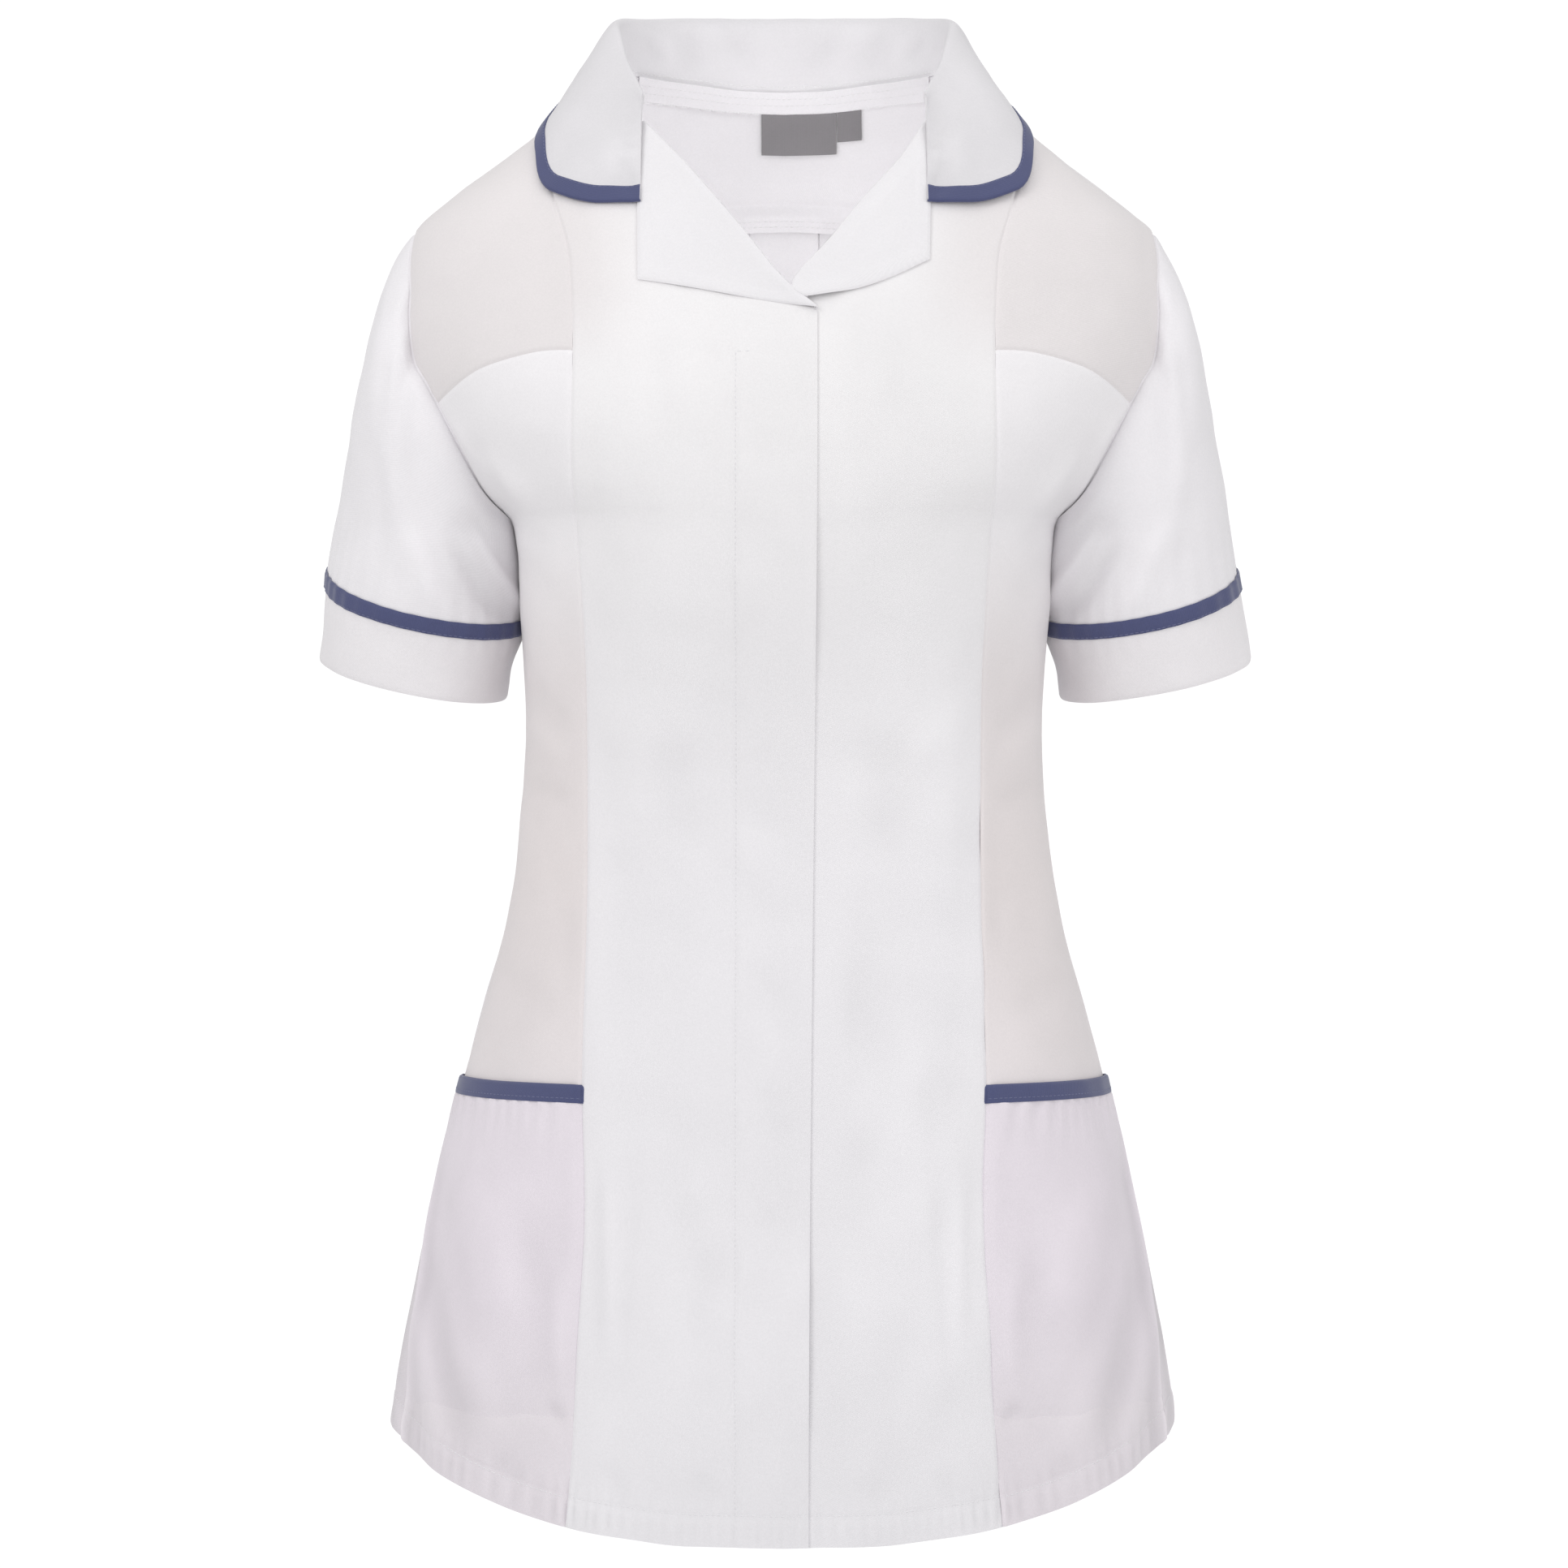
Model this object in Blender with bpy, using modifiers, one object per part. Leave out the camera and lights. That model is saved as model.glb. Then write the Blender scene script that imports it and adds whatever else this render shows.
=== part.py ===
"""Short-sleeved medical tunic in white poly-cotton with blue bias trims.

The garment keeps the hollow form it has when worn. Its front faces -Y, +Z is up,
and the origin is the middle of the neck, level with the inner ends of the shoulders.
Right and left are the wearer's: the right side is -X.
"""
import math

import bpy
from mathutils import Vector

# Cloth walls and the gaps between them
PANEL_WALL = 0.0012
COLLAR_WALL = 0.0012
TRIM_WALL = 0.0010
SEAM_GAP = 0.0005
ON_PANEL = 0.0020
ON_POCKET = 0.0034
UNDER_FRONT = 0.0022
LINING_GAP = 0.0004

# Heights and lengths, from the origin
HEM_SIDE = -0.692
HEM_BACK_SHARE = 0.70
SHOULDER_TIP = -0.060
UNDERARM = -0.2165
PRINCESS_TOP = -0.004
POCKET_TOP = -0.511
POCKET_BOTTOM = -0.684
TRIM_WIDTH = 0.0088

# Rows and columns of the walls, shared by the pieces that meet at a seam
ROWS_SHOULDER = 8
ROWS_ARMHOLE = 5
ROWS_BODY = 22
ROWS_YOKE_END = 4
ROWS_BACK_ARMHOLE = 7
COLUMNS_FRONT = 8
COLUMNS_SIDE = 7
COLUMNS_BACK = 20

# Placket and back pleat
PLACKET_TOP_X = 0.0172
PLACKET_HEM_X = 0.0125
UNDERLAP_X = -0.020
PLEAT_LAYER = 0.0017

# The pleat's path: distance from the middle, layers inward
PLEAT = (
    (-0.0196, 0.0),
    (-0.0016, 0.0),
    (-0.0009, 0.5),
    (-0.0016, 1.0),
    (-0.0183, 1.0),
    (-0.0190, 1.5),
    (-0.0183, 2.0),
    (0.0, 2.0),
    (0.0183, 2.0),
    (0.0190, 1.5),
    (0.0183, 1.0),
    (0.0016, 1.0),
    (0.0009, 0.5),
    (0.0016, 0.0),
    (0.0196, 0.0),
)
PLEAT_WALL = 0.0011

# Rings of the body: height, half breadth, depth in front, depth behind
BODY = (
    (-0.760, 0.2135, 0.1390, 0.1400),
    (-0.700, 0.2085, 0.1365, 0.1370),
    (-0.665, 0.2039, 0.1335, 0.1345),
    (-0.626, 0.1974, 0.1295, 0.1305),
    (-0.587, 0.1896, 0.1250, 0.1265),
    (-0.548, 0.1794, 0.1205, 0.1225),
    (-0.509, 0.1697, 0.1160, 0.1170),
    (-0.470, 0.1596, 0.1105, 0.1090),
    (-0.431, 0.1487, 0.1045, 0.0990),
    (-0.391, 0.1417, 0.1000, 0.0920),
    (-0.352, 0.1386, 0.0985, 0.0890),
    (-0.326, 0.1378, 0.1010, 0.0910),
    (-0.290, 0.1393, 0.1080, 0.0960),
    (-0.262, 0.1412, 0.1145, 0.1000),
    (-0.236, 0.1424, 0.1200, 0.1045),
    (-0.224, 0.1438, 0.1220, 0.1065),
    (-0.2165, 0.1465, 0.1233, 0.1080),
    (-0.2107, 0.1530, 0.1240, 0.1090),
    (-0.1987, 0.1665, 0.1245, 0.1105),
    (-0.179, 0.1810, 0.1240, 0.1120),
    (-0.158, 0.1935, 0.1210, 0.1130),
    (-0.131, 0.2050, 0.1135, 0.1120),
    (-0.110, 0.2085, 0.1055, 0.1095),
    (-0.094, 0.2082, 0.0990, 0.1065),
    (-0.075, 0.2040, 0.0915, 0.1020),
    (-0.060, 0.1968, 0.0855, 0.0980),
    (-0.040, 0.1745, 0.0765, 0.0920),
    (-0.020, 0.1478, 0.0660, 0.0845),
    (0.000, 0.1215, 0.0545, 0.0755),
    (0.015, 0.1018, 0.0465, 0.0665),
    (0.027, 0.0862, 0.0400, 0.0605),
    (0.036, 0.0745, 0.0350, 0.0560),
)
SQUARENESS = 2.2

# Seam lines, each row a height and the distance from the middle
PRINCESS = (
    (-0.004, 0.1268),
    (-0.020, 0.1262),
    (-0.050, 0.1200),
    (-0.083, 0.1115),
    (-0.131, 0.1091),
    (-0.183, 0.1097),
    (-0.222, 0.1074),
    (-0.260, 0.1050),
    (-0.311, 0.1030),
    (-0.407, 0.1026),
    (-0.510, 0.1045),
    (-0.573, 0.1028),
    (-0.649, 0.1066),
    (-0.690, 0.1083),
    (-0.760, 0.1140),
)
ARMHOLE_FRONT = (
    (-0.0600, None),
    (-0.0780, 0.1982),
    (-0.0940, 0.1973),
    (-0.1100, 0.1975),
    (-0.1310, 0.1952),
    (-0.1435, 0.1884),
    (-0.1550, 0.1822),
    (-0.1793, 0.1697),
    (-0.1987, 0.1595),
    (-0.2100, 0.1510),
    (-0.2165, None),
)
ARMHOLE_BACK = (
    (-0.0600, None),
    (-0.0780, 0.1965),
    (-0.1050, 0.1925),
    (-0.1310, 0.1875),
    (-0.1600, 0.1790),
    (-0.1850, 0.1665),
    (-0.2030, 0.1550),
    (-0.2165, None),
)
BUST_SEAM = (
    (-0.1313, 0.1091),
    (-0.1316, 0.1279),
    (-0.1376, 0.1538),
    (-0.1441, 0.1673),
    (-0.1550, 0.1822),
)
# Side seam: height and how far it lies in front of the widest point
SIDE_SEAM = (
    (-0.2165, 0.000),
    (-0.5200, 0.000),
    (-0.6000, 0.022),
    (-0.6600, 0.036),
    (-0.7200, 0.042),
)
BACK_YOKE_MIDDLE = -0.041
BACK_YOKE_END = -0.105
# Front hem: distance from the middle, height
HEM = (
    (0.000, -0.7430),
    (0.050, -0.7418),
    (0.080, -0.7389),
    (0.100, -0.7364),
    (0.120, -0.7323),
    (0.140, -0.7270),
    (0.160, -0.7197),
    (0.180, -0.7112),
    (0.195, -0.7038),
    (0.2085, -0.6920),
)

# Neck seam: angle from the middle of the front, height
NECK = (
    (57.5, -0.006),
    (65.0, 0.006),
    (75.0, 0.018),
    (90.0, 0.027),
    (110.0, 0.0275),
    (135.0, 0.0265),
    (160.0, 0.0240),
    (180.0, 0.0233),
)
# Roll lines of the fronts: height, place across
ROLL_RIGHT = (
    (-0.006, -0.0762),
    (-0.031, -0.0530),
    (-0.0644, -0.0250),
    (-0.0936, -0.0020),
    (-0.111, 0.0172),
)
ROLL_LEFT = (
    (-0.006, 0.0762),
    (-0.0288, 0.0614),
    (-0.0512, 0.0420),
    (-0.0713, 0.0262),
    (-0.0966, 0.0052),
    (-0.1150, -0.0200),
)

# Outer and lower edges of the lapels: height, place across
LAPEL_RIGHT_OUT = (
    (-0.0060, -0.0762),
    (-0.0300, -0.0766),
    (-0.0527, -0.0760),
    (-0.0955, -0.0752),
)
LAPEL_RIGHT_LOW = (
    (-0.0955, -0.0752),
    (-0.0990, -0.0520),
    (-0.1060, -0.0110),
    (-0.1105, 0.0165),
)
LAPEL_LEFT_OUT = (
    (-0.0060, 0.0762),
    (-0.0300, 0.0766),
    (-0.0527, 0.0760),
    (-0.0840, 0.0752),
)
LAPEL_LEFT_LOW = (
    (-0.0840, 0.0752),
    (-0.0930, 0.0570),
    (-0.0993, 0.0400),
    (-0.1035, 0.0200),
)

# Collar stations: neck angle, fold across, fold back, fold height,
# then the outer edge's angle and height on the body
COLLAR = (
    (57.5, 0.0742, -0.0487, 0.0074, 43.8, -0.0527),
    (65.0, 0.0780, -0.0380, 0.0160, 52.4, -0.0525),
    (73.0, 0.0830, -0.0260, 0.0268, 62.4, -0.0458),
    (82.0, 0.0875, -0.0110, 0.0418, 74.5, -0.0205),
    (92.0, 0.0908, 0.0060, 0.0527, 91.0, 0.0025),
    (108.0, 0.0885, 0.0260, 0.0582, 110.0, 0.0040),
    (125.0, 0.0755, 0.0455, 0.0617, 127.0, 0.0000),
    (142.0, 0.0530, 0.0600, 0.0641, 145.0, -0.0040),
    (160.0, 0.0265, 0.0672, 0.0651, 162.0, -0.0065),
    (180.0, 0.0000, 0.0692, 0.0653, 180.0, -0.0070),
)
COLLAR_EDGE_LIFT = 0.0032
COLLAR_BULGE = 0.0035
FOLD_RADIUS = 0.0032

# Sleeve rings: middle, then the outward and the forward half axes
CUFF_TOP = ((0.1944, 0.020, -0.2511), (0.0510, 0.0, 0.0114), (0.0, -0.058, -0.0155))
CUFF_HEM = ((0.2011, 0.028, -0.2970), (0.0513, 0.0, 0.0105), (0.0, -0.056, -0.0103))
CUFF_SEAM = 0.13

# Soft folds: middle angle, half width in degrees, top, bottom, depth outward
FOLDS = (
    (36.0, 5.0, -0.500, -0.690, -0.0022),
    (-36.0, 5.0, -0.500, -0.690, -0.0020),
    (62.0, 11.0, -0.560, -0.800, 0.0035),
    (-61.0, 12.0, -0.570, -0.800, 0.0032),
    (18.0, 9.0, -0.600, -0.820, 0.0022),
    (-22.0, 9.0, -0.590, -0.820, 0.0024),
    (112.0, 13.0, -0.520, -0.820, 0.0040),
    (-116.0, 12.0, -0.540, -0.820, 0.0042),
    (146.0, 12.0, -0.480, -0.820, 0.0038),
    (-143.0, 13.0, -0.500, -0.820, 0.0036),
)

# Colour, roughness and metallic of each cloth
CLOTHS = {
    "white twill": ((0.80, 0.785, 0.80), 0.62, 0.0),
    "blue trim": ((0.085, 0.10, 0.25), 0.70, 0.0),
    "grey label": ((0.23, 0.22, 0.23), 0.55, 0.0),
}


def clear_scene():
    for item in list(bpy.data.objects):
        bpy.data.objects.remove(item, do_unlink=True)


def slopes(rows, column):
    """Slopes that keep a curve through a table from overshooting its rows."""
    gaps = [rows[i + 1][0] - rows[i][0] for i in range(len(rows) - 1)]
    rises = [rows[i + 1][column] - rows[i][column] for i in range(len(rows) - 1)]
    steep = [rise / gap for rise, gap in zip(rises, gaps)]
    found = [steep[0]]
    for before, after in zip(steep, steep[1:]):
        if before * after <= 0:
            found.append(0.0)
        else:
            found.append(2 * before * after / (before + after))
    found.append(steep[-1])
    return found


SLOPES = {}


def read(rows, at, column=1):
    """A smooth value from a table whose first column rises or falls."""
    key = (rows, column)
    if key not in SLOPES:
        ordered = rows if rows[0][0] < rows[-1][0] else tuple(reversed(rows))
        SLOPES[key] = (ordered, slopes(ordered, column))
    ordered, steep = SLOPES[key]
    at = min(max(at, ordered[0][0]), ordered[-1][0])
    place = 0
    while place < len(ordered) - 2 and at > ordered[place + 1][0]:
        place += 1
    low = ordered[place]
    high = ordered[place + 1]
    gap = high[0] - low[0]
    t = (at - low[0]) / gap
    return (
        low[column] * (1 + 2 * t) * (1 - t) ** 2
        + steep[place] * gap * t * (1 - t) ** 2
        + high[column] * t * t * (3 - 2 * t)
        + steep[place + 1] * gap * t * t * (t - 1)
    )


def ease(value):
    value = min(max(value, 0.0), 1.0)
    return value * value * (3 - 2 * value)


def fold_height(angle, height):
    """How far the soft folds move the cloth out at a place."""
    out = 0.0
    for middle, half, top, bottom, depth in FOLDS:
        away = (angle - middle + 180) % 360 - 180
        if abs(away) < half and bottom < height < top:
            across = 0.5 + 0.5 * math.cos(math.pi * away / half)
            out += depth * across * ease((top - height) / 0.09) * ease((height - bottom) / 0.07)
    return out


def depth_of(angle, height):
    front = math.cos(math.radians(angle)) > 0
    return read(BODY, height, 2 if front else 3)


def body(angle, height):
    """The outside of the cloth at an angle round from the front and a height."""
    turn = math.radians(angle)
    along = abs(math.cos(turn)) / depth_of(angle, height)
    across = abs(math.sin(turn)) / read(BODY, height, 1)
    reach = (along ** SQUARENESS + across ** SQUARENESS) ** (-1 / SQUARENESS)
    reach += fold_height(angle, height)
    return Vector((reach * math.sin(turn), -reach * math.cos(turn), height))


def outward(angle, height):
    step = 0.5
    rise = 0.002
    around = body(angle + step, height) - body(angle - step, height)
    up = body(angle, height + rise) - body(angle, height - rise)
    return around.cross(up).normalized()


def moved(angle, height, out):
    return body(angle, height) + outward(angle, height) * out


def angle_at(across, height, behind=False):
    """The angle whose place on the body lies that far from the middle."""
    half = read(BODY, height, 1)
    share = min(abs(across) / half, 1.0)
    depth = read(BODY, height, 3 if behind else 2)
    along = depth * (1 - share ** SQUARENESS) ** (1 / SQUARENESS)
    turn = math.degrees(math.atan2(abs(across), along))
    if behind:
        turn = 180 - turn
    return math.copysign(turn, across)


def hem_height(angle):
    """The height of the hem's edge at an angle."""
    height = read(HEM, abs(body(angle, HEM_SIDE).x))
    if math.cos(math.radians(angle)) < 0:
        height = HEM_SIDE + (height - HEM_SIDE) * HEM_BACK_SHARE
    return height


def spline(points, steps):
    """A smooth line through places given as pairs."""
    line = []
    for i in range(len(points) - 1):
        before = points[max(i - 1, 0)]
        start = points[i]
        end = points[i + 1]
        after = points[min(i + 2, len(points) - 1)]
        for k in range(steps):
            t = k / steps
            pair = []
            for a, b, c, d in zip(before, start, end, after):
                pair.append(
                    0.5
                    * (
                        2 * b
                        + (c - a) * t
                        + (2 * a - 5 * b + 4 * c - d) * t * t
                        + (3 * b - a - 3 * c + d) * t ** 3
                    )
                )
            line.append(tuple(pair))
    line.append(tuple(points[-1]))
    return line


def seam_line(rows, side, behind=False, steps=8):
    """Angles and heights along a seam given by heights and distances across."""
    places = []
    for height, across in rows:
        if across is None:
            across = read(BODY, height, 1)
        places.append((height, across))
    line = []
    for height, across in spline(places, steps):
        line.append((angle_at(across * side, height, behind), height))
    if rows[0][1] is None:
        line[0] = (90.0 * side, rows[0][0])
    if rows[-1][1] is None:
        line[-1] = (90.0 * side, rows[-1][0])
    return line


def princess_line(side, top, bottom, steps=60):
    line = []
    for k in range(steps + 1):
        height = top + (bottom - top) * k / steps
        across = min(read(PRINCESS, height), read(BODY, height, 1))
        line.append((angle_at(across * side, height), height))
    if top == PRINCESS_TOP:
        line[0] = (90.0 * side, top)
    return line


def shoulder_line(side, start, end, steps=12):
    line = []
    for k in range(steps + 1):
        line.append((90.0 * side, start + (end - start) * k / steps))
    return line


def neck_line(side, start, end, steps=16):
    line = []
    for k in range(steps + 1):
        turn = start + (end - start) * k / steps
        flat = turn if turn <= 180 else 360 - turn
        line.append((turn * side, read(NECK, flat)))
    return line


def roll_line(rows, steps=10):
    return [(angle_at(across, height), height) for height, across in spline(rows, steps)]


def side_angle(height):
    ahead = read(SIDE_SEAM, height)
    if ahead < 1e-5:
        return 90.0
    depth = read(BODY, height, 2)
    half = read(BODY, height, 1)
    across = half * (1 - (ahead / depth) ** SQUARENESS) ** (1 / SQUARENESS)
    return math.degrees(math.atan2(across, ahead))


def side_line(side, top, bottom, steps=40):
    line = []
    for k in range(steps + 1):
        height = top + (bottom - top) * k / steps
        line.append((side_angle(height) * side, height))
    return line


def hem_line(start, end, rise=0.0, steps=48):
    line = []
    for k in range(steps + 1):
        turn = start + (end - start) * k / steps
        line.append((turn, hem_height(turn) + rise))
    return line


def meet_hem(line_of):
    """The height at which a line down the body reaches the hem."""
    height = HEM_SIDE
    for _ in range(6):
        height = hem_height(line_of(height))
    return height


class Edge:
    """A line on the body that is read by the share of its length."""

    def __init__(self, *lines):
        self.parts = [Edge(line) for line in lines] if len(lines) > 1 else []
        self.places = []
        for line in lines:
            for place in line:
                if not self.places or place != self.places[-1]:
                    self.places.append(place)
        self.lengths = [0.0]
        for before, after in zip(self.places, self.places[1:]):
            step = (body(*after) - body(*before)).length
            self.lengths.append(self.lengths[-1] + step)
        self.knots = []

    def at(self, share):
        if self.knots:
            spot = share * (len(self.knots) - 1)
            low = min(int(spot), len(self.knots) - 2)
            share = self.knots[low] + (self.knots[low + 1] - self.knots[low]) * (spot - low)
        return self.by_length(share)

    def by_length(self, share):
        target = share * self.lengths[-1]
        place = 0
        while place < len(self.lengths) - 2 and target > self.lengths[place + 1]:
            place += 1
        gap = self.lengths[place + 1] - self.lengths[place]
        t = (target - self.lengths[place]) / gap if gap > 0 else 0.0
        low = self.places[place]
        high = self.places[place + 1]
        return tuple(a + (b - a) * t for a, b in zip(low, high))

    def length(self):
        return self.lengths[-1]

    def paced(self, *counts):
        """Read the line so that even steps divide each of its parts evenly."""
        total = sum(part.length() for part in self.parts)
        self.knots = [0.0]
        begun = 0.0
        for part, count in zip(self.parts, counts):
            for k in range(1, count + 1):
                self.knots.append((begun + part.length() * k / count) / total)
            begun += part.length()
        self.knots[-1] = 1.0
        return self


class Patch:
    """A piece of the body between a left, a right, a top and a bottom edge.

    The holds say how soon an edge's own bends fade away from it.
    """

    def __init__(self, left, right, top, bottom, top_hold=1.5, bottom_hold=1.5, side_hold=1.0):
        self.left = left
        self.right = right
        self.top = top
        self.bottom = bottom
        self.holds = (top_hold, bottom_hold, side_hold)

    def at(self, u, v):
        top_share = (1 - v) ** self.holds[0]
        bottom_share = v ** self.holds[1]
        left_share = (1 - u) ** self.holds[2]
        right_share = u ** self.holds[2]
        edges = zip(
            self.left.at(v),
            self.right.at(v),
            self.top.at(u),
            self.bottom.at(u),
            self.left.at(0),
            self.left.at(1),
            self.right.at(0),
            self.right.at(1),
        )
        place = []
        for left, right, top, bottom, left_top, left_low, right_top, right_low in edges:
            left_line = left_top + (left_low - left_top) * v
            right_line = right_top + (right_low - right_top) * v
            along = left_line * (1 - u) + right_line * u
            along += (left - left_line) * left_share + (right - right_line) * right_share
            along += (top - left_top * (1 - u) - right_top * u) * top_share
            along += (bottom - left_low * (1 - u) - right_low * u) * bottom_share
            place.append(along)
        return tuple(place)


def pull(point, following, before, after, clear):
    """How an edge point moves in from its seam, square to the seam."""
    along = after - before
    inward = following - point
    inward -= along * (inward.dot(along) / along.length_squared)
    return inward.normalized() * clear


def cleared(grid, clear):
    """The grid with its left, right, top and bottom edges drawn in from their seams."""
    tall = len(grid) - 1
    wide = len(grid[0]) - 1
    moves = {}
    for row in range(tall + 1):
        above = max(row - 1, 0)
        below = min(row + 1, tall)
        for column, step, space in ((0, 1, clear[0]), (wide, -1, clear[1])):
            if space:
                point = grid[row][column]
                following = grid[row][column + step]
                move = pull(point, following, grid[above][column], grid[below][column], space)
                moves[row, column] = moves.get((row, column), Vector()) + move
    for column in range(wide + 1):
        before = max(column - 1, 0)
        after = min(column + 1, wide)
        for row, step, space in ((0, 1, clear[2]), (tall, -1, clear[3])):
            if space:
                point = grid[row][column]
                following = grid[row + step][column]
                move = pull(point, following, grid[row][before], grid[row][after], space)
                moves[row, column] = moves.get((row, column), Vector()) + move
    for (row, column), move in moves.items():
        grid[row][column] = grid[row][column] + move
    return grid


def patch_grid(patch, columns, rows, clear, lift=0.0, sink=None):
    """Points of a patch, clear of its left, right, top and bottom edges."""
    grid = []
    for row in range(rows + 1):
        line = []
        for column in range(columns + 1):
            angle, height = patch.at(column / columns, row / rows)
            out = lift - (sink(angle, height) if sink else 0.0)
            line.append(moved(angle, height, out))
        grid.append(line)
    return cleared(grid, clear)


def cloth_material(kind):
    made = bpy.data.materials.get(kind)
    if made is None:
        colour, roughness, metallic = CLOTHS[kind]
        made = bpy.data.materials.new(kind)
        made.use_nodes = True
        shader = made.node_tree.nodes["Principled BSDF"]
        shader.inputs["Base Color"].default_value = (*colour, 1.0)
        shader.inputs["Roughness"].default_value = roughness
        shader.inputs["Metallic"].default_value = metallic
        made.diffuse_color = (*colour, 1.0)
    return made


def cloth_wall(name, grid, wall, kind, closed=False, offset=-1.0):
    """One cloth piece: a grid of points skinned and given its thickness."""
    points = []
    faces = []
    wide = len(grid[0])
    for line in grid:
        points.extend(tuple(point) for point in line)
    last = wide if closed else wide - 1
    for row in range(len(grid) - 1):
        for column in range(last):
            right = (column + 1) % wide
            a = row * wide + column
            b = row * wide + right
            faces.append((a, a + wide, b + wide, b))
    mesh = bpy.data.meshes.new(name)
    mesh.from_pydata(points, [], faces)
    mesh.validate()
    mesh.materials.append(cloth_material(kind))
    piece = bpy.data.objects.new(name, mesh)
    garment.objects.link(piece)
    thick = piece.modifiers.new("cloth thickness", "SOLIDIFY")
    thick.thickness = wall
    thick.offset = offset
    thick.use_even_offset = True
    for face in mesh.polygons:
        face.use_smooth = True
    return piece


def mirrored(grid):
    """The same points on the other side of the body."""
    return [[Vector((-p.x, p.y, p.z)) for p in reversed(line)] for line in grid]


def placket_x(height):
    share = (height + 0.111) / (HEM[0][1] + 0.111)
    return PLACKET_TOP_X + (PLACKET_HEM_X - PLACKET_TOP_X) * ease(share)


def underlap(angle, height):
    """How far the under front sinks below the placket."""
    across = body(angle, height).x
    return UNDER_FRONT * ease((placket_x(height) + 0.020 - across) / 0.016)


def front_patch(side, roll, edge_x, hem_rise):
    """A front between its princess seam and its neck, roll line and front edge."""
    bust = BUST_SEAM[0][0]
    hem = meet_hem(lambda h: angle_at(side * read(PRINCESS, h), h))
    outer = Edge(
        princess_line(side, PRINCESS_TOP, bust, 24),
        princess_line(side, bust, UNDERARM, 20),
        princess_line(side, UNDERARM, hem),
    )
    outer.paced(ROWS_SHOULDER, ROWS_ARMHOLE, ROWS_BODY)
    start = roll[-1][0]
    end = meet_hem(lambda h: angle_at(edge_x(h), h)) + hem_rise
    heights = [start + (UNDERARM - start) * k / 12 for k in range(13)]
    upper = [(angle_at(edge_x(height), height), height) for height in heights]
    heights = [UNDERARM + (end - UNDERARM) * k / 40 for k in range(41)]
    lower = [(angle_at(edge_x(height), height), height) for height in heights]
    inner = Edge(neck_line(side, 90.0, 57.5), roll_line(roll), upper, lower)
    inner.paced(3, ROWS_SHOULDER - 3, ROWS_ARMHOLE, ROWS_BODY)
    shoulder = shoulder_line(side, PRINCESS_TOP, 0.027)
    low = []
    for turn, height in hem_line(outer.places[-1][0], inner.places[-1][0]):
        across = body(turn, height).x * side
        low.append((turn, height + hem_rise * ease((0.110 - across) / 0.06)))
    if side < 0:
        return Patch(outer, inner, Edge(shoulder), Edge(low))
    shoulder.reverse()
    low.reverse()
    return Patch(inner, outer, Edge(shoulder), Edge(low))


def front_panels():
    """The two fronts, the right one over the left, with their neck edges."""
    half = SEAM_GAP / 2
    rows = ROWS_SHOULDER + ROWS_ARMHOLE + ROWS_BODY
    over = front_patch(-1, ROLL_RIGHT, placket_x, 0.0)
    grid = patch_grid(over, COLUMNS_FRONT, rows, (half, 0.0, half, 0.0))
    cloth_wall("front_right", grid, PANEL_WALL, "white twill")
    under = front_patch(1, ROLL_LEFT, lambda height: UNDERLAP_X, 0.0033)
    grid = patch_grid(under, COLUMNS_FRONT + 1, rows, (0.0, half, half, 0.0), sink=underlap)
    cloth_wall("front_left", grid, PANEL_WALL, "white twill")


def shoulder_patch():
    """Front shoulder panel of the right side, above the bust seam."""
    armhole = [row for row in ARMHOLE_FRONT if row[0] >= -0.1551]
    left = Edge(seam_line(armhole, -1))
    right = Edge(princess_line(-1, PRINCESS_TOP, BUST_SEAM[0][0], 24))
    top = Edge(shoulder_line(-1, SHOULDER_TIP, PRINCESS_TOP))
    bottom = Edge(list(reversed(seam_line(BUST_SEAM, -1))))
    return Patch(left, right, top, bottom, 1.0, 1.0)


def side_patch():
    """Side front panel of the right side, below the bust seam."""
    hem = meet_hem(lambda h: angle_at(-read(PRINCESS, h), h))
    side_hem = meet_hem(lambda h: -side_angle(h))
    low_armhole = [row for row in ARMHOLE_FRONT if row[0] <= -0.1549]
    left = Edge(seam_line(low_armhole, -1), side_line(-1, UNDERARM, side_hem))
    left.paced(ROWS_ARMHOLE, ROWS_BODY)
    bust = BUST_SEAM[0][0]
    right = Edge(princess_line(-1, bust, UNDERARM, 20), princess_line(-1, UNDERARM, hem))
    right.paced(ROWS_ARMHOLE, ROWS_BODY)
    top = Edge(list(reversed(seam_line(BUST_SEAM, -1))))
    bottom = Edge(hem_line(left.places[-1][0], right.places[-1][0]))
    return Patch(left, right, top, bottom, 6.0, 2.0)


def pocket_patch(top_height, bottom_height):
    """Pocket between the side seam and the princess seam of the right side."""
    left = Edge(side_line(-1, top_height, bottom_height))
    right = Edge(princess_line(-1, top_height, bottom_height))
    top = []
    bottom = []
    for k in range(25):
        share = k / 24
        for line, height in ((top, top_height), (bottom, bottom_height)):
            start = -side_angle(height)
            end = angle_at(-read(PRINCESS, height), height)
            line.append((start + (end - start) * share, height))
    return Patch(left, right, Edge(top), Edge(bottom))


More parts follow.
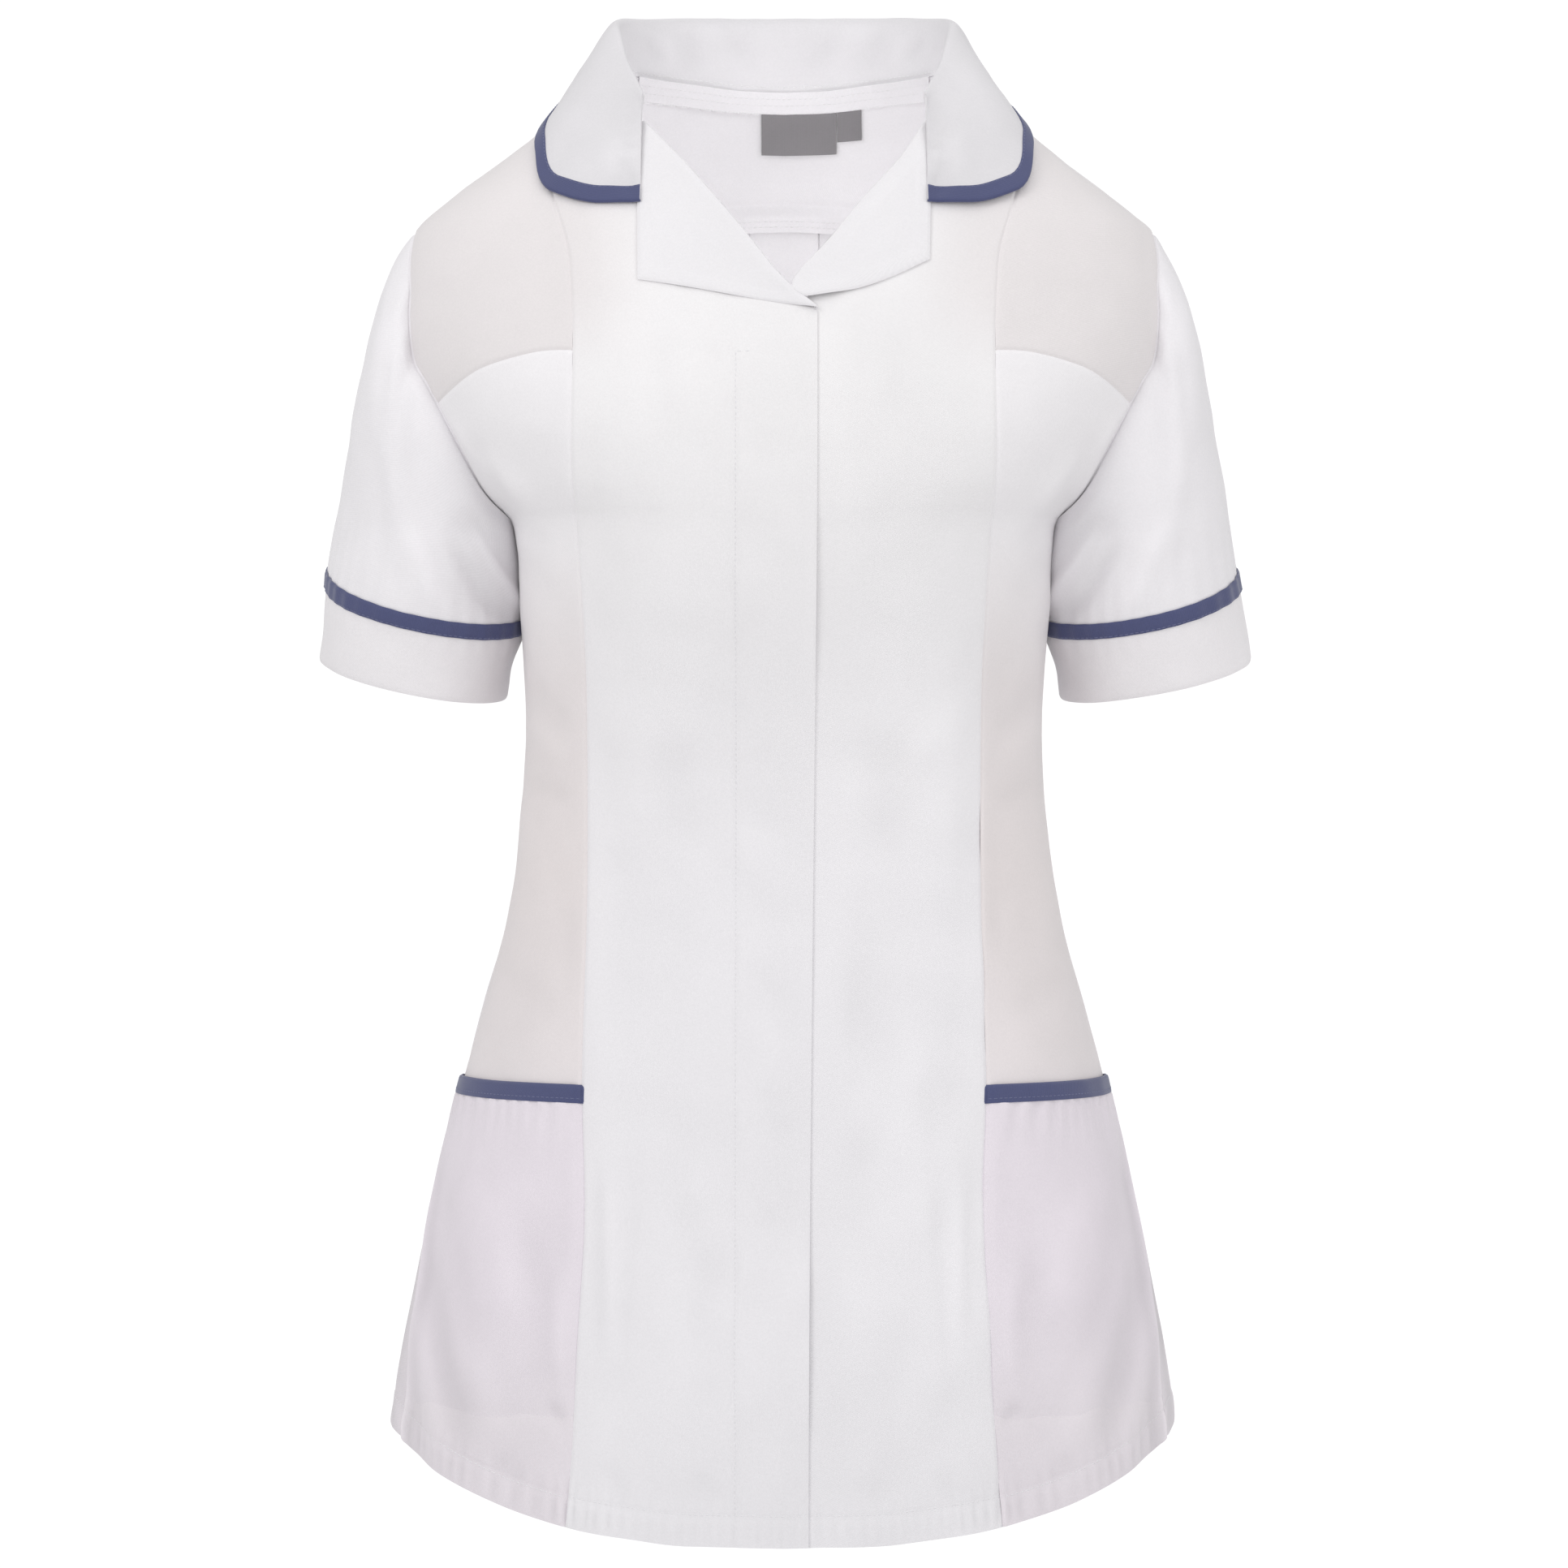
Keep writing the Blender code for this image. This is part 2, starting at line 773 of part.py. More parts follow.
def side_panels():
    half = SEAM_GAP / 2
    around = (half, half, half, half)
    grid = patch_grid(shoulder_patch(), COLUMNS_SIDE, ROWS_SHOULDER, around)
    cloth_wall("shoulder_right", grid, PANEL_WALL, "white twill")
    cloth_wall("shoulder_left", mirrored(grid), PANEL_WALL, "white twill")
    rows = ROWS_ARMHOLE + ROWS_BODY
    grid = patch_grid(side_patch(), COLUMNS_SIDE, rows, (half, half, half, 0.0))
    cloth_wall("side_right", grid, PANEL_WALL, "white twill")
    cloth_wall("side_left", mirrored(grid), PANEL_WALL, "white twill")
    pocket = pocket_patch(POCKET_TOP, POCKET_BOTTOM)
    grid = patch_grid(pocket, 8, 8, (0.0012, 0.0012, 0.0, 0.0), ON_PANEL)
    cloth_wall("pocket_right", grid, PANEL_WALL, "white twill")
    cloth_wall("pocket_left", mirrored(grid), PANEL_WALL, "white twill")
    trim = pocket_patch(POCKET_TOP + 0.0006, POCKET_TOP - TRIM_WIDTH)
    grid = patch_grid(trim, 8, 1, (0.0012, 0.0012, 0.0, 0.0), ON_POCKET)
    cloth_wall("pocket_trim_right", grid, TRIM_WALL, "blue trim")
    cloth_wall("pocket_trim_left", mirrored(grid), TRIM_WALL, "blue trim")


def yoke_seam(start, end, steps=24):
    """The seam below the back yoke, level behind and lower at the armholes."""
    line = []
    reach = abs(body(angle_at(0.1925, BACK_YOKE_END, True), BACK_YOKE_END).x)
    for k in range(steps + 1):
        turn = start + (end - start) * k / steps
        height = BACK_YOKE_MIDDLE
        for _ in range(8):
            across = min(abs(body(turn, height).x) / reach, 1.0)
            height = BACK_YOKE_MIDDLE + (BACK_YOKE_END - BACK_YOKE_MIDDLE) * across ** 2
        line.append((turn, height))
    return line


def back_pieces():
    """The yoke across the shoulders and the back with its inverted box pleat."""
    end = angle_at(0.1925, BACK_YOKE_END, True)
    high = [row for row in ARMHOLE_BACK if row[0] >= BACK_YOKE_END]
    low = [row for row in ARMHOLE_BACK if row[0] <= BACK_YOKE_END]
    upper = seam_line(high, 1, True)
    lower = seam_line(low, 1, True)
    seam = yoke_seam(end, 360 - end)

    def other(line):
        return [(360 - turn, height) for turn, height in line]

    inner = shoulder_line(1, 0.027, PRINCESS_TOP)
    outer = shoulder_line(1, PRINCESS_TOP, SHOULDER_TIP)
    left = Edge(inner, outer, upper)
    right = Edge(other(inner), other(outer), other(upper))
    for edge in (left, right):
        edge.paced(2, COLUMNS_SIDE - 2, ROWS_YOKE_END)
    top = Edge(neck_line(1, 90.0, 270.0, 32))
    yoke = Patch(left, right, top, Edge(seam), 1.0, 1.0, 3.0)
    half = SEAM_GAP / 2
    rows = COLUMNS_SIDE + ROWS_YOKE_END
    grid = patch_grid(yoke, COLUMNS_BACK, rows, (half, half, 0.0, half))
    cloth_wall("yoke", grid, PANEL_WALL, "white twill")

    side_hem = meet_hem(side_angle)
    left = Edge(lower, side_line(1, UNDERARM, side_hem))
    right = Edge(other(lower), other(side_line(1, UNDERARM, side_hem)))
    for edge in (left, right):
        edge.paced(ROWS_BACK_ARMHOLE, ROWS_BODY)
    bottom = Edge(hem_line(left.places[-1][0], 360 - left.places[-1][0], steps=80))
    back = Patch(left, right, Edge(seam), bottom, 8.0, 2.0)
    rows = ROWS_BACK_ARMHOLE + ROWS_BODY
    halfway = COLUMNS_BACK // 2 - 1
    grid = []
    for row in range(rows + 1):
        v = row / rows
        half_row = [k / COLUMNS_BACK for k in range(halfway)]
        line = [moved(*back.at(u, v), -PLEAT_WALL / 2) for u in half_row]
        line.extend(pleat_points(back, v))
        line.extend(moved(*back.at(1 - u, v), -PLEAT_WALL / 2) for u in reversed(half_row))
        grid.append(line)
    grid = cleared(grid, (half, half, half, 0.0))
    cloth_wall("back", grid, PLEAT_WALL, "white twill", offset=0.0)


def pleat_points(back, v):
    """One row of the pleat that is folded in behind the middle of the back."""
    reach = (body(*back.at(0.5, v)) - body(*back.at(0.45, v))).length / 0.05
    points = []
    for across, layers in PLEAT:
        turn, height = back.at(0.5 + across / reach, v)
        points.append(moved(turn, height, -layers * PLEAT_LAYER - PLEAT_WALL / 2))
    return points


def armhole_edges():
    """The armhole in front and behind, each in the parts that its panels meet."""
    high = [row for row in ARMHOLE_FRONT if row[0] >= -0.1551]
    low = [row for row in ARMHOLE_FRONT if row[0] <= -0.1549]
    front = Edge(seam_line(high, 1), seam_line(low, 1))
    front.paced(ROWS_SHOULDER, ROWS_ARMHOLE)
    high = [row for row in ARMHOLE_BACK if row[0] >= BACK_YOKE_END]
    low = [row for row in ARMHOLE_BACK if row[0] <= BACK_YOKE_END]
    behind = Edge(seam_line(high, 1, True), seam_line(low, 1, True))
    behind.paced(ROWS_YOKE_END, ROWS_BACK_ARMHOLE)
    return front, behind


def ring_point(ring, turn):
    middle, outer, forward = (Vector(part) for part in ring)
    return middle + outer * math.cos(turn) + forward * math.sin(turn)


def sleeve_point(share_round, along, loops):
    """A point of the left sleeve: round from the shoulder, along to the cuff's hem."""
    turn = 2 * math.pi * share_round
    front, behind = loops
    if share_round <= 0.5:
        seam = body(*front.by_length(share_round * 2))
    else:
        seam = body(*behind.by_length(2 - share_round * 2))
    top = ring_point(CUFF_TOP, turn)
    hem = ring_point(CUFF_HEM, turn)
    if along > 1:
        return top + (hem - top) * (along - 1)
    cosine = math.cos(turn)
    sine = math.sin(turn)
    across = 0.275 + 0.475 * cosine
    ahead = -0.35 * sine
    start = Vector((across, ahead, -math.sqrt(1 - across ** 2 - ahead ** 2)))
    reach = (top - seam).length
    start = start * reach * (0.80 - 0.33 * (0.5 + 0.5 * cosine))
    finish = (hem - top).normalized() * reach * 0.9
    away = Vector((0.8, 0.15 * -sine, -0.3)).normalized() * SEAM_GAP
    t = along
    return (
        (seam + away) * ((1 + 2 * t) * (1 - t) ** 2)
        + start * (t * (1 - t) ** 2)
        + top * (t * t * (3 - 2 * t))
        + finish * (t * t * (t - 1))
    )


def ring_grid(places, out, loops):
    """Rings of the sleeve at places along it, moved out of its surface."""
    front, behind = loops
    around = [share / 2 for share in front.knots]
    around.extend(1 - share / 2 for share in reversed(behind.knots[1:-1]))
    grid = []
    for along in places:
        line = []
        for share in around:
            here = sleeve_point(share, along, loops)
            step = 0.004
            right = sleeve_point((share + step) % 1, along, loops)
            left = sleeve_point((share - step) % 1, along, loops)
            low = sleeve_point(share, along + 0.01, loops)
            high = sleeve_point(share, max(along - 0.01, 0.0), loops)
            out_way = (right - left).cross(low - high).normalized()
            line.append(here + out_way * out)
        grid.append(line)
    return grid


def sleeves():
    """Set-in short sleeves, each with a cuff band and a trim over their join."""
    loops = armhole_edges()
    join = 1 + CUFF_SEAM
    length = (Vector(CUFF_HEM[0]) - Vector(CUFF_TOP[0])).length
    gap = SEAM_GAP / length
    places = [0.0, 0.05, 0.14, 0.25, 0.38, 0.52, 0.66, 0.78, 0.90, 1.0, join - gap / 2]
    sleeve = ring_grid(places, 0.0, loops)
    cuff = ring_grid([join + gap / 2, 1.4, 1.7, 2.0], 0.0, loops)
    trim = ring_grid([1.0, 1.0 + TRIM_WIDTH / length], ON_PANEL, loops)
    for name, grid, wall, kind in (
        ("sleeve", sleeve, PANEL_WALL, "white twill"),
        ("cuff", cuff, PANEL_WALL, "white twill"),
        ("cuff_trim", trim, TRIM_WALL, "blue trim"),
    ):
        turned = [list(reversed(line)) for line in grid]
        cloth_wall(name + "_left", turned, wall, kind, closed=True)
        other = [[Vector((-p.x, p.y, p.z)) for p in line] for line in grid]
        cloth_wall(name + "_right", other, wall, kind, closed=True)


def collar_station(share):
    """The rows of the collar's table at a share of the way from front to back."""
    place = share * (len(COLLAR) - 1)
    indexed = tuple((float(i), *row) for i, row in enumerate(COLLAR))
    return [read(indexed, place, column) for column in range(1, 7)]


def collar_profile(share):
    """The collar's section: neck seam, stand, fold, fall and outer edge."""
    neck, across, back, top, edge_angle, edge_height = collar_station(share)
    out = outward(neck, read(NECK, neck))
    seam = body(neck, read(NECK, neck)) - out * PANEL_WALL / 2
    fold = Vector((across, back, top))
    edge = moved(edge_angle, edge_height, COLLAR_EDGE_LIFT)
    away = Vector((out.x, out.y, 0)).normalized()
    radius = min(FOLD_RADIUS, (fold.z - seam.z) * 0.3)
    inner = fold - away * radius - Vector((0, 0, radius * 1.1))
    outer = fold + away * radius - Vector((0, 0, radius * 1.1))
    start = seam + (inner - seam).normalized() * SEAM_GAP * 2
    points = [start]
    stand = (inner - start).length
    for t in (0.33, 0.67):
        points.append(start.lerp(inner, t) - away * 0.0015 * (stand / 0.04))
    points.append(inner)
    points.append(fold - away * radius * 0.62 - Vector((0, 0, radius * 0.3)))
    points.append(fold)
    points.append(fold + away * radius * 0.62 - Vector((0, 0, radius * 0.3)))
    points.append(outer)
    fall = edge - outer
    bulge = (away * 0.7 + Vector((0, 0, 0.7))) * COLLAR_BULGE
    for t in (0.2, 0.42, 0.64, 0.84, 1.0):
        points.append(above_body(outer + fall * t + bulge * math.sin(math.pi * t)))
    return points


def above_body(point):
    """A point of the collar, lifted if it is too near the cloth below."""
    angle = math.degrees(math.atan2(point.x, -point.y))
    out = outward(angle, point.z)
    gap = (point - body(angle, point.z)).dot(out)
    if gap < COLLAR_EDGE_LIFT:
        return point + out * (COLLAR_EDGE_LIFT - gap)
    return point


def collar_grid(stations):
    """Collar sections from the right end of the front round to the left end."""
    right = []
    for k in range(stations + 1):
        right.append([Vector((-p.x, p.y, p.z)) for p in collar_profile(k / stations)])
    left = []
    for k in range(stations - 1, -1, -1):
        left.append(collar_profile(k / stations))
    return right + left


def collar_pieces():
    grid = collar_grid(14)
    cloth_wall("collar", grid, COLLAR_WALL, "white twill", offset=0.0)
    # The trim follows the collar's last run of points, moved out
    rows = []
    for line in grid:
        edge = line[-1]
        before = line[-2]
        rows.append((edge, (edge - before).normalized()))
    strip = []
    for i, (edge, run) in enumerate(rows):
        along = rows[min(i + 1, len(rows) - 1)][0] - rows[max(i - 1, 0)][0]
        out = along.cross(run).normalized()
        if out.z < 0:
            out = -out
        lift = out * (COLLAR_WALL / 2 + LINING_GAP + TRIM_WALL)
        strip.append([edge - run * TRIM_WIDTH + lift, edge + run * 0.0004 + lift])
    cloth_wall("collar_trim", strip, TRIM_WALL, "blue trim")


def lapel_grid(roll, out_edge, low_edge, side, lift):
    """A turned-back lapel between its roll line and its outer and lower edges."""
    inner = Edge(roll_line(roll))
    outer = Edge(roll_line(out_edge))
    low = Edge(roll_line(low_edge))
    count = 12
    across = 7
    grid = []
    for row in range(count + 1):
        v = row / count
        start = inner.at(0.03 + 0.97 * v)
        line = []
        for column in range(across + 1):
            u = column / across
            end = outer.at(0.10 + 0.90 * v)
            place = [a + (b - a) * u for a, b in zip(start, end)]
            low_place = low.at(1 - u)
            flat = [
                a + (b - a) * u
                for a, b in zip(inner.at(1.0), outer.at(1.0))
            ]
            for k in range(2):
                place[k] += (low_place[k] - flat[k]) * v ** 1.5
            line.append(moved(place[0], place[1], lift))
        grid.append(line)
    if side < 0:
        grid = [list(reversed(line)) for line in grid]
    return grid


def lapels():
    grid = lapel_grid(ROLL_RIGHT, LAPEL_RIGHT_OUT, LAPEL_RIGHT_LOW, -1, ON_PANEL)
    cloth_wall("lapel_right", grid, PANEL_WALL, "white twill")
    short = ROLL_LEFT[:-1]
    grid = lapel_grid(short, LAPEL_LEFT_OUT, LAPEL_LEFT_LOW, 1, ON_PANEL)
    cloth_wall("lapel_left", grid, PANEL_WALL, "white twill")


def inside_strip(name, across, drop, kind, columns, rows):
    """A piece that lies flat inside the back of the neck."""
    inward = PANEL_WALL + LINING_GAP
    grid = []
    for row in range(rows + 1):
        line = []
        for column in range(columns + 1):
            place = across[0] + (across[1] - across[0]) * column / columns
            high = drop[0] + (drop[1] - drop[0]) * row / rows
            height = 0.0233 - high
            turn = angle_at(place if place else 1e-6, height, True)
            height = read(NECK, min(abs(turn), 180.0)) - high
            line.append(moved(turn, height, -inward))
        line.reverse()
        grid.append(line)
    cloth_wall(name, grid, TRIM_WALL, kind)


def neck_details():
    """Neck strip, blank woven label and blank size tab inside the back of the neck."""
    inside_strip("neck_strip", (-0.077, 0.077), (0.0008, 0.0104), "white twill", 20, 1)
    inside_strip("label", (-0.0125, 0.0292), (0.0108, 0.0310), "grey label", 5, 2)
    inside_strip("size_tab", (0.0297, 0.0436), (0.0108, 0.0248), "grey label", 2, 2)


clear_scene()
garment = bpy.data.collections.new("medical tunic")
bpy.context.scene.collection.children.link(garment)
front_panels()
side_panels()
back_pieces()
sleeves()
collar_pieces()
lapels()
neck_details()
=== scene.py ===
"""Looks of a short-sleeved medical tunic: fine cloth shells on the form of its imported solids.

The garment's front faces -Y and +Z is up. Right and left are the wearer's: the right side is -X.
Lengths are in metres. Angles are degrees round the body from the middle of the front.
"""

import math

import bpy
import numpy as np
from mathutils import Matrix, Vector, noise
from mathutils.bvhtree import BVHTree


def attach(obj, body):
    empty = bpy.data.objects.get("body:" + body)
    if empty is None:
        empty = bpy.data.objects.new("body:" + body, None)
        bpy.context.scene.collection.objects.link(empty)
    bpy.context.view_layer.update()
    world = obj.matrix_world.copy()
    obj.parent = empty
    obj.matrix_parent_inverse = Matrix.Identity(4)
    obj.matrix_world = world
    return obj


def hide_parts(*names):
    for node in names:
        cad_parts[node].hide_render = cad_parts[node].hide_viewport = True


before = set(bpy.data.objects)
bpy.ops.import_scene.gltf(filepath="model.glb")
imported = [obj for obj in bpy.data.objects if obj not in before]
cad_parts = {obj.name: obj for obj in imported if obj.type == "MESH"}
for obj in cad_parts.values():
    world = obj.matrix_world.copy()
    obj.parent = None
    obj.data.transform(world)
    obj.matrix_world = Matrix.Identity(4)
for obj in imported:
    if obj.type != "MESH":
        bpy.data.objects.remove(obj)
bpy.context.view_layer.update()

# Walls of the cloth, by piece
CLOTH = 0.0007
FOLDED_CLOTH = 0.0010
COLLAR_WALL = 0.0012
TRIM_WALL = 0.0005
PANEL_WALL = 0.0012
# How far a pocket stands off its panel, in its middle and at its seams, and its trim off the pocket
ON_PANEL = 0.0020
POCKET_EDGE_LIFT = 0.0004
TRIM_ON_POCKET = 0.0007
# How far cloth sinks under a pocket, under the other front and into a seam, and how wide that dip is
POCKET_PRESS = 0.0006
UNDER_FRONT = 0.0014
SEAM_DIP = 0.0005
SEAM_ROLL = 0.0009
# The placket: how thick it stands, how far its stitches draw it in, how far its edge turns under,
# and how deep it may dip above the under front
PLACKET_THICK = 0.00045
PLACKET_DRAWN_IN = 0.00030
EDGE_ROLL = 0.00050
OVERLAP_ROOM = 0.0003
# The turned hem: its depth, how thick it stands, how far its stitches draw it in,
# and the height and pitch of its ribs
HEM_DEPTH = 0.0155
HEM_THICK = 0.00035
HEM_DRAWN_IN = 0.00040
HEM_RIB = 0.00075
HEM_RIB_PITCH = 0.0068
# Other lengths, and the share of the front hem's curve that the back has
TRIM_WIDTH = 0.0088
PLEAT_LAYER = 0.0017
SMALLEST_CUT = 0.011
HEM_BACK_SHARE = 0.70

# Heights from the origin
SHOULDER_TOP = 0.027
PRINCESS_TOP = -0.004
BACK_YOKE_MIDDLE = -0.041
SHOULDER_TIP = -0.060
BACK_YOKE_END = -0.105
PLACKET_BEGINS = -0.128
FLY_TOP = -0.133
UNDERARM = -0.2165
RIDGE_TOP = -0.50
POCKET_TOP = -0.511
SEAM_SHOWS = -0.545
POCKET_BOTTOM = -0.684
HEM_SIDE = -0.692
# Places across, from the middle
PLACKET_TOP_X = 0.0172
PLACKET_HEM_X = 0.0125
UNDERLAP_X = -0.020
FLY_X = -0.0249
PLEAT_HALF = 0.0190
STRIP_HALF = 0.084
BACK_YOKE_ACROSS = 0.1925

# How the rows are shared out between the seams that meet the panels
PACE_NECK = 3
PACE_SHOULDER = 8
PACE_ARMHOLE = 5
PACE_BODY = 22
PACE_YOKE = (2, 5, 4)
PACE_BACK_ARMHOLE = 7

# Stitching
STITCH_LENGTH = 0.0023
STITCH_PITCH = 0.0029
STITCH_WIDTH = 0.00050
STITCH_RISE = 0.00022
# Stretches of the row down the placket: top, bottom, number of places
FLY_STRETCHES = ((FLY_TOP, -0.641, 120), (-0.643, -0.727, 30))

# Rings of the body: height, half breadth, depth in front, depth behind
BODY = (
    (-0.760, 0.2135, 0.1390, 0.1400),
    (-0.700, 0.2085, 0.1365, 0.1370),
    (-0.665, 0.2039, 0.1335, 0.1345),
    (-0.626, 0.1974, 0.1295, 0.1305),
    (-0.587, 0.1896, 0.1250, 0.1265),
    (-0.548, 0.1794, 0.1205, 0.1225),
    (-0.509, 0.1697, 0.1160, 0.1170),
    (-0.470, 0.1596, 0.1105, 0.1090),
    (-0.431, 0.1487, 0.1045, 0.0990),
    (-0.391, 0.1417, 0.1000, 0.0920),
    (-0.352, 0.1386, 0.0985, 0.0890),
    (-0.326, 0.1378, 0.1010, 0.0910),
    (-0.290, 0.1393, 0.1080, 0.0960),
    (-0.262, 0.1412, 0.1145, 0.1000),
    (-0.236, 0.1424, 0.1200, 0.1045),
    (-0.224, 0.1438, 0.1220, 0.1065),
    (-0.2165, 0.1465, 0.1233, 0.1080),
    (-0.2107, 0.1530, 0.1240, 0.1090),
    (-0.1987, 0.1665, 0.1245, 0.1105),
    (-0.179, 0.1810, 0.1240, 0.1120),
    (-0.158, 0.1935, 0.1210, 0.1130),
    (-0.131, 0.2050, 0.1135, 0.1120),
    (-0.110, 0.2085, 0.1055, 0.1095),
    (-0.094, 0.2082, 0.0990, 0.1065),
    (-0.075, 0.2040, 0.0915, 0.1020),
    (-0.060, 0.1968, 0.0855, 0.0980),
    (-0.040, 0.1745, 0.0765, 0.0920),
    (-0.020, 0.1478, 0.0660, 0.0845),
    (0.000, 0.1215, 0.0545, 0.0755),
    (0.015, 0.1018, 0.0465, 0.0665),
    (0.027, 0.0862, 0.0400, 0.0605),
    (0.036, 0.0745, 0.0350, 0.0560),
)
SQUARENESS = 2.2

# Seam lines: height and distance from the middle, with None at the widest point of a ring
PRINCESS = (
    (-0.004, 0.1268),
    (-0.020, 0.1262),
    (-0.050, 0.1200),
    (-0.083, 0.1115),
    (-0.131, 0.1091),
    (-0.183, 0.1097),
    (-0.222, 0.1074),
    (-0.260, 0.1050),
    (-0.311, 0.1030),
    (-0.407, 0.1026),
    (-0.510, 0.1045),
    (-0.573, 0.1028),
    (-0.649, 0.1066),
    (-0.690, 0.1083),
    (-0.760, 0.1140),
)
ARMHOLE_FRONT = (
    (-0.0600, None),
    (-0.0780, 0.1982),
    (-0.0940, 0.1973),
    (-0.1100, 0.1975),
    (-0.1310, 0.1952),
    (-0.1435, 0.1884),
    (-0.1550, 0.1822),
    (-0.1793, 0.1697),
    (-0.1987, 0.1595),
    (-0.2100, 0.1510),
    (-0.2165, None),
)
BUST_END = 7
ARMHOLE_BACK = (
    (-0.0600, None),
    (-0.0780, 0.1965),
    (-0.1050, 0.1925),
    (-0.1310, 0.1875),
    (-0.1600, 0.1790),
    (-0.1850, 0.1665),
    (-0.2030, 0.1550),
    (-0.2165, None),
)
YOKE_END = 3
BUST_SEAM = (
    (-0.1313, 0.1091),
    (-0.1316, 0.1279),
    (-0.1376, 0.1538),
    (-0.1441, 0.1673),
    (-0.1550, 0.1822),
)
# Side seam: height and how far it lies in front of the widest point
SIDE_SEAM = (
    (-0.2165, 0.000),
    (-0.5200, 0.000),
    (-0.6000, 0.022),
    (-0.6600, 0.036),
    (-0.7200, 0.042),
)
# Where the back swells behind the low side seam, and where painted shade marks hollow places there that
# have no shape of their own:
# height, half height, share
HIP_SWELL = 0.026
HIP_HOLLOW_SHADES = ((-0.622, 0.012, 1.0), (-0.648, 0.010, 0.8))
# Front hem: distance from the middle, height
HEM = (
    (0.000, -0.7430),
    (0.050, -0.7418),
    (0.080, -0.7389),
    (0.100, -0.7364),
    (0.120, -0.7323),
    (0.140, -0.7270),
    (0.160, -0.7197),
    (0.180, -0.7112),
    (0.195, -0.7038),
    (0.2085, -0.6920),
)
# Neck seam: angle, height
NECK = (
    (57.5, -0.006),
    (65.0, 0.006),
    (75.0, 0.018),
    (90.0, 0.027),
    (110.0, 0.0275),
    (135.0, 0.0265),
    (160.0, 0.0240),
    (180.0, 0.0233),
)
# Roll lines of the fronts: height, place across
ROLL_RIGHT = (
    (-0.006, -0.0762),
    (-0.031, -0.0530),
    (-0.0644, -0.0250),
    (-0.0936, -0.0020),
    (-0.111, 0.0172),
)
ROLL_LEFT = (
    (-0.006, 0.0762),
    (-0.0288, 0.0614),
    (-0.0512, 0.0420),
    (-0.0713, 0.0262),
    (-0.0966, 0.0052),
    (-0.1150, -0.0200),
)
# Outer and lower edges of the lapels: height, place across
LAPEL_RIGHT_OUT = (
    (-0.0060, -0.0762),
    (-0.0300, -0.0766),
    (-0.0527, -0.0760),
    (-0.0955, -0.0752),
)
LAPEL_RIGHT_LOW = (
    (-0.0955, -0.0752),
    (-0.0990, -0.0520),
    (-0.1060, -0.0110),
    (-0.1105, 0.0165),
)
LAPEL_LEFT_OUT = (
    (-0.0060, 0.0762),
    (-0.0300, 0.0766),
    (-0.0527, 0.0760),
    (-0.0840, 0.0752),
)
LAPEL_LEFT_LOW = (
    (-0.0840, 0.0752),
    (-0.0930, 0.0570),
    (-0.0993, 0.0400),
    (-0.1030, 0.0220),
    (-0.1048, 0.0122),
)

# Collar stations: neck angle, fold across, fold back, fold height,
# then the outer edge's angle and height on the body
COLLAR = (
    (57.5, 0.0742, -0.0487, 0.0074, 43.8, -0.0527),
    (65.0, 0.0780, -0.0380, 0.0160, 52.4, -0.0525),
    (73.0, 0.0830, -0.0260, 0.0268, 62.4, -0.0458),
    (82.0, 0.0875, -0.0110, 0.0418, 74.5, -0.0205),
    (92.0, 0.0908, 0.0060, 0.0527, 91.0, 0.0025),
    (108.0, 0.0885, 0.0260, 0.0582, 110.0, 0.0040),
    (125.0, 0.0755, 0.0455, 0.0617, 127.0, 0.0000),
    (142.0, 0.0530, 0.0600, 0.0641, 145.0, -0.0040),
    (160.0, 0.0265, 0.0672, 0.0651, 162.0, -0.0065),
    (180.0, 0.0000, 0.0692, 0.0653, 180.0, -0.0070),
)
COLLAR_EDGE_LIFT = 0.0032
COLLAR_ROLL = 0.028

# Sleeve rings: middle, then the outward and the forward half axes
CUFF_TOP = ((0.1944, 0.020, -0.2511), (0.0510, 0.0, 0.0114), (0.0, -0.058, -0.0155))
CUFF_HEM = ((0.2011, 0.028, -0.2970), (0.0513, 0.0, 0.0105), (0.0, -0.056, -0.0103))
CUFF_LENGTH = 0.0471
CUFF_SEAM = 0.13
SLEEVE_ROUND = 0.36
SLEEVE_REACH = 0.19
# The sleeve's soft inner edge: share round, half width, how far it bulges
INNER_BULGE = (0.475, 0.085, 0.0056)
SEAM_GAP = 0.0003

# The two sides, and what turns points of one into points of the other
SIDES = ((-1, "right"), (1, "left"))
MIRROR = np.array([-1.0, 1.0, 1.0])

# Large soft folds of the skirt: middle angle, half width in degrees, top, bottom, depth outward
FOLDS = (
    (36.0, 5.0, -0.500, -0.690, -0.0022),
    (-36.0, 5.0, -0.500, -0.690, -0.0020),
    (62.0, 11.0, -0.560, -0.800, 0.0035),
    (-61.0, 12.0, -0.570, -0.800, 0.0032),
    (18.0, 9.0, -0.600, -0.820, 0.0022),
    (-22.0, 9.0, -0.590, -0.820, 0.0024),
    (112.0, 13.0, -0.520, -0.820, 0.0040),
    (-116.0, 12.0, -0.540, -0.820, 0.0042),
    (146.0, 12.0, -0.480, -0.820, 0.0038),
    (-143.0, 13.0, -0.500, -0.820, 0.0036),
)

# Gentle waves of each front, which its lapel follows: size, depth, seed, how fast they rise
FRONT_WAVES = {-1: (0.075, 0.0026, 5, 0.6), 1: (0.070, 0.0027, 15, 0.6)}
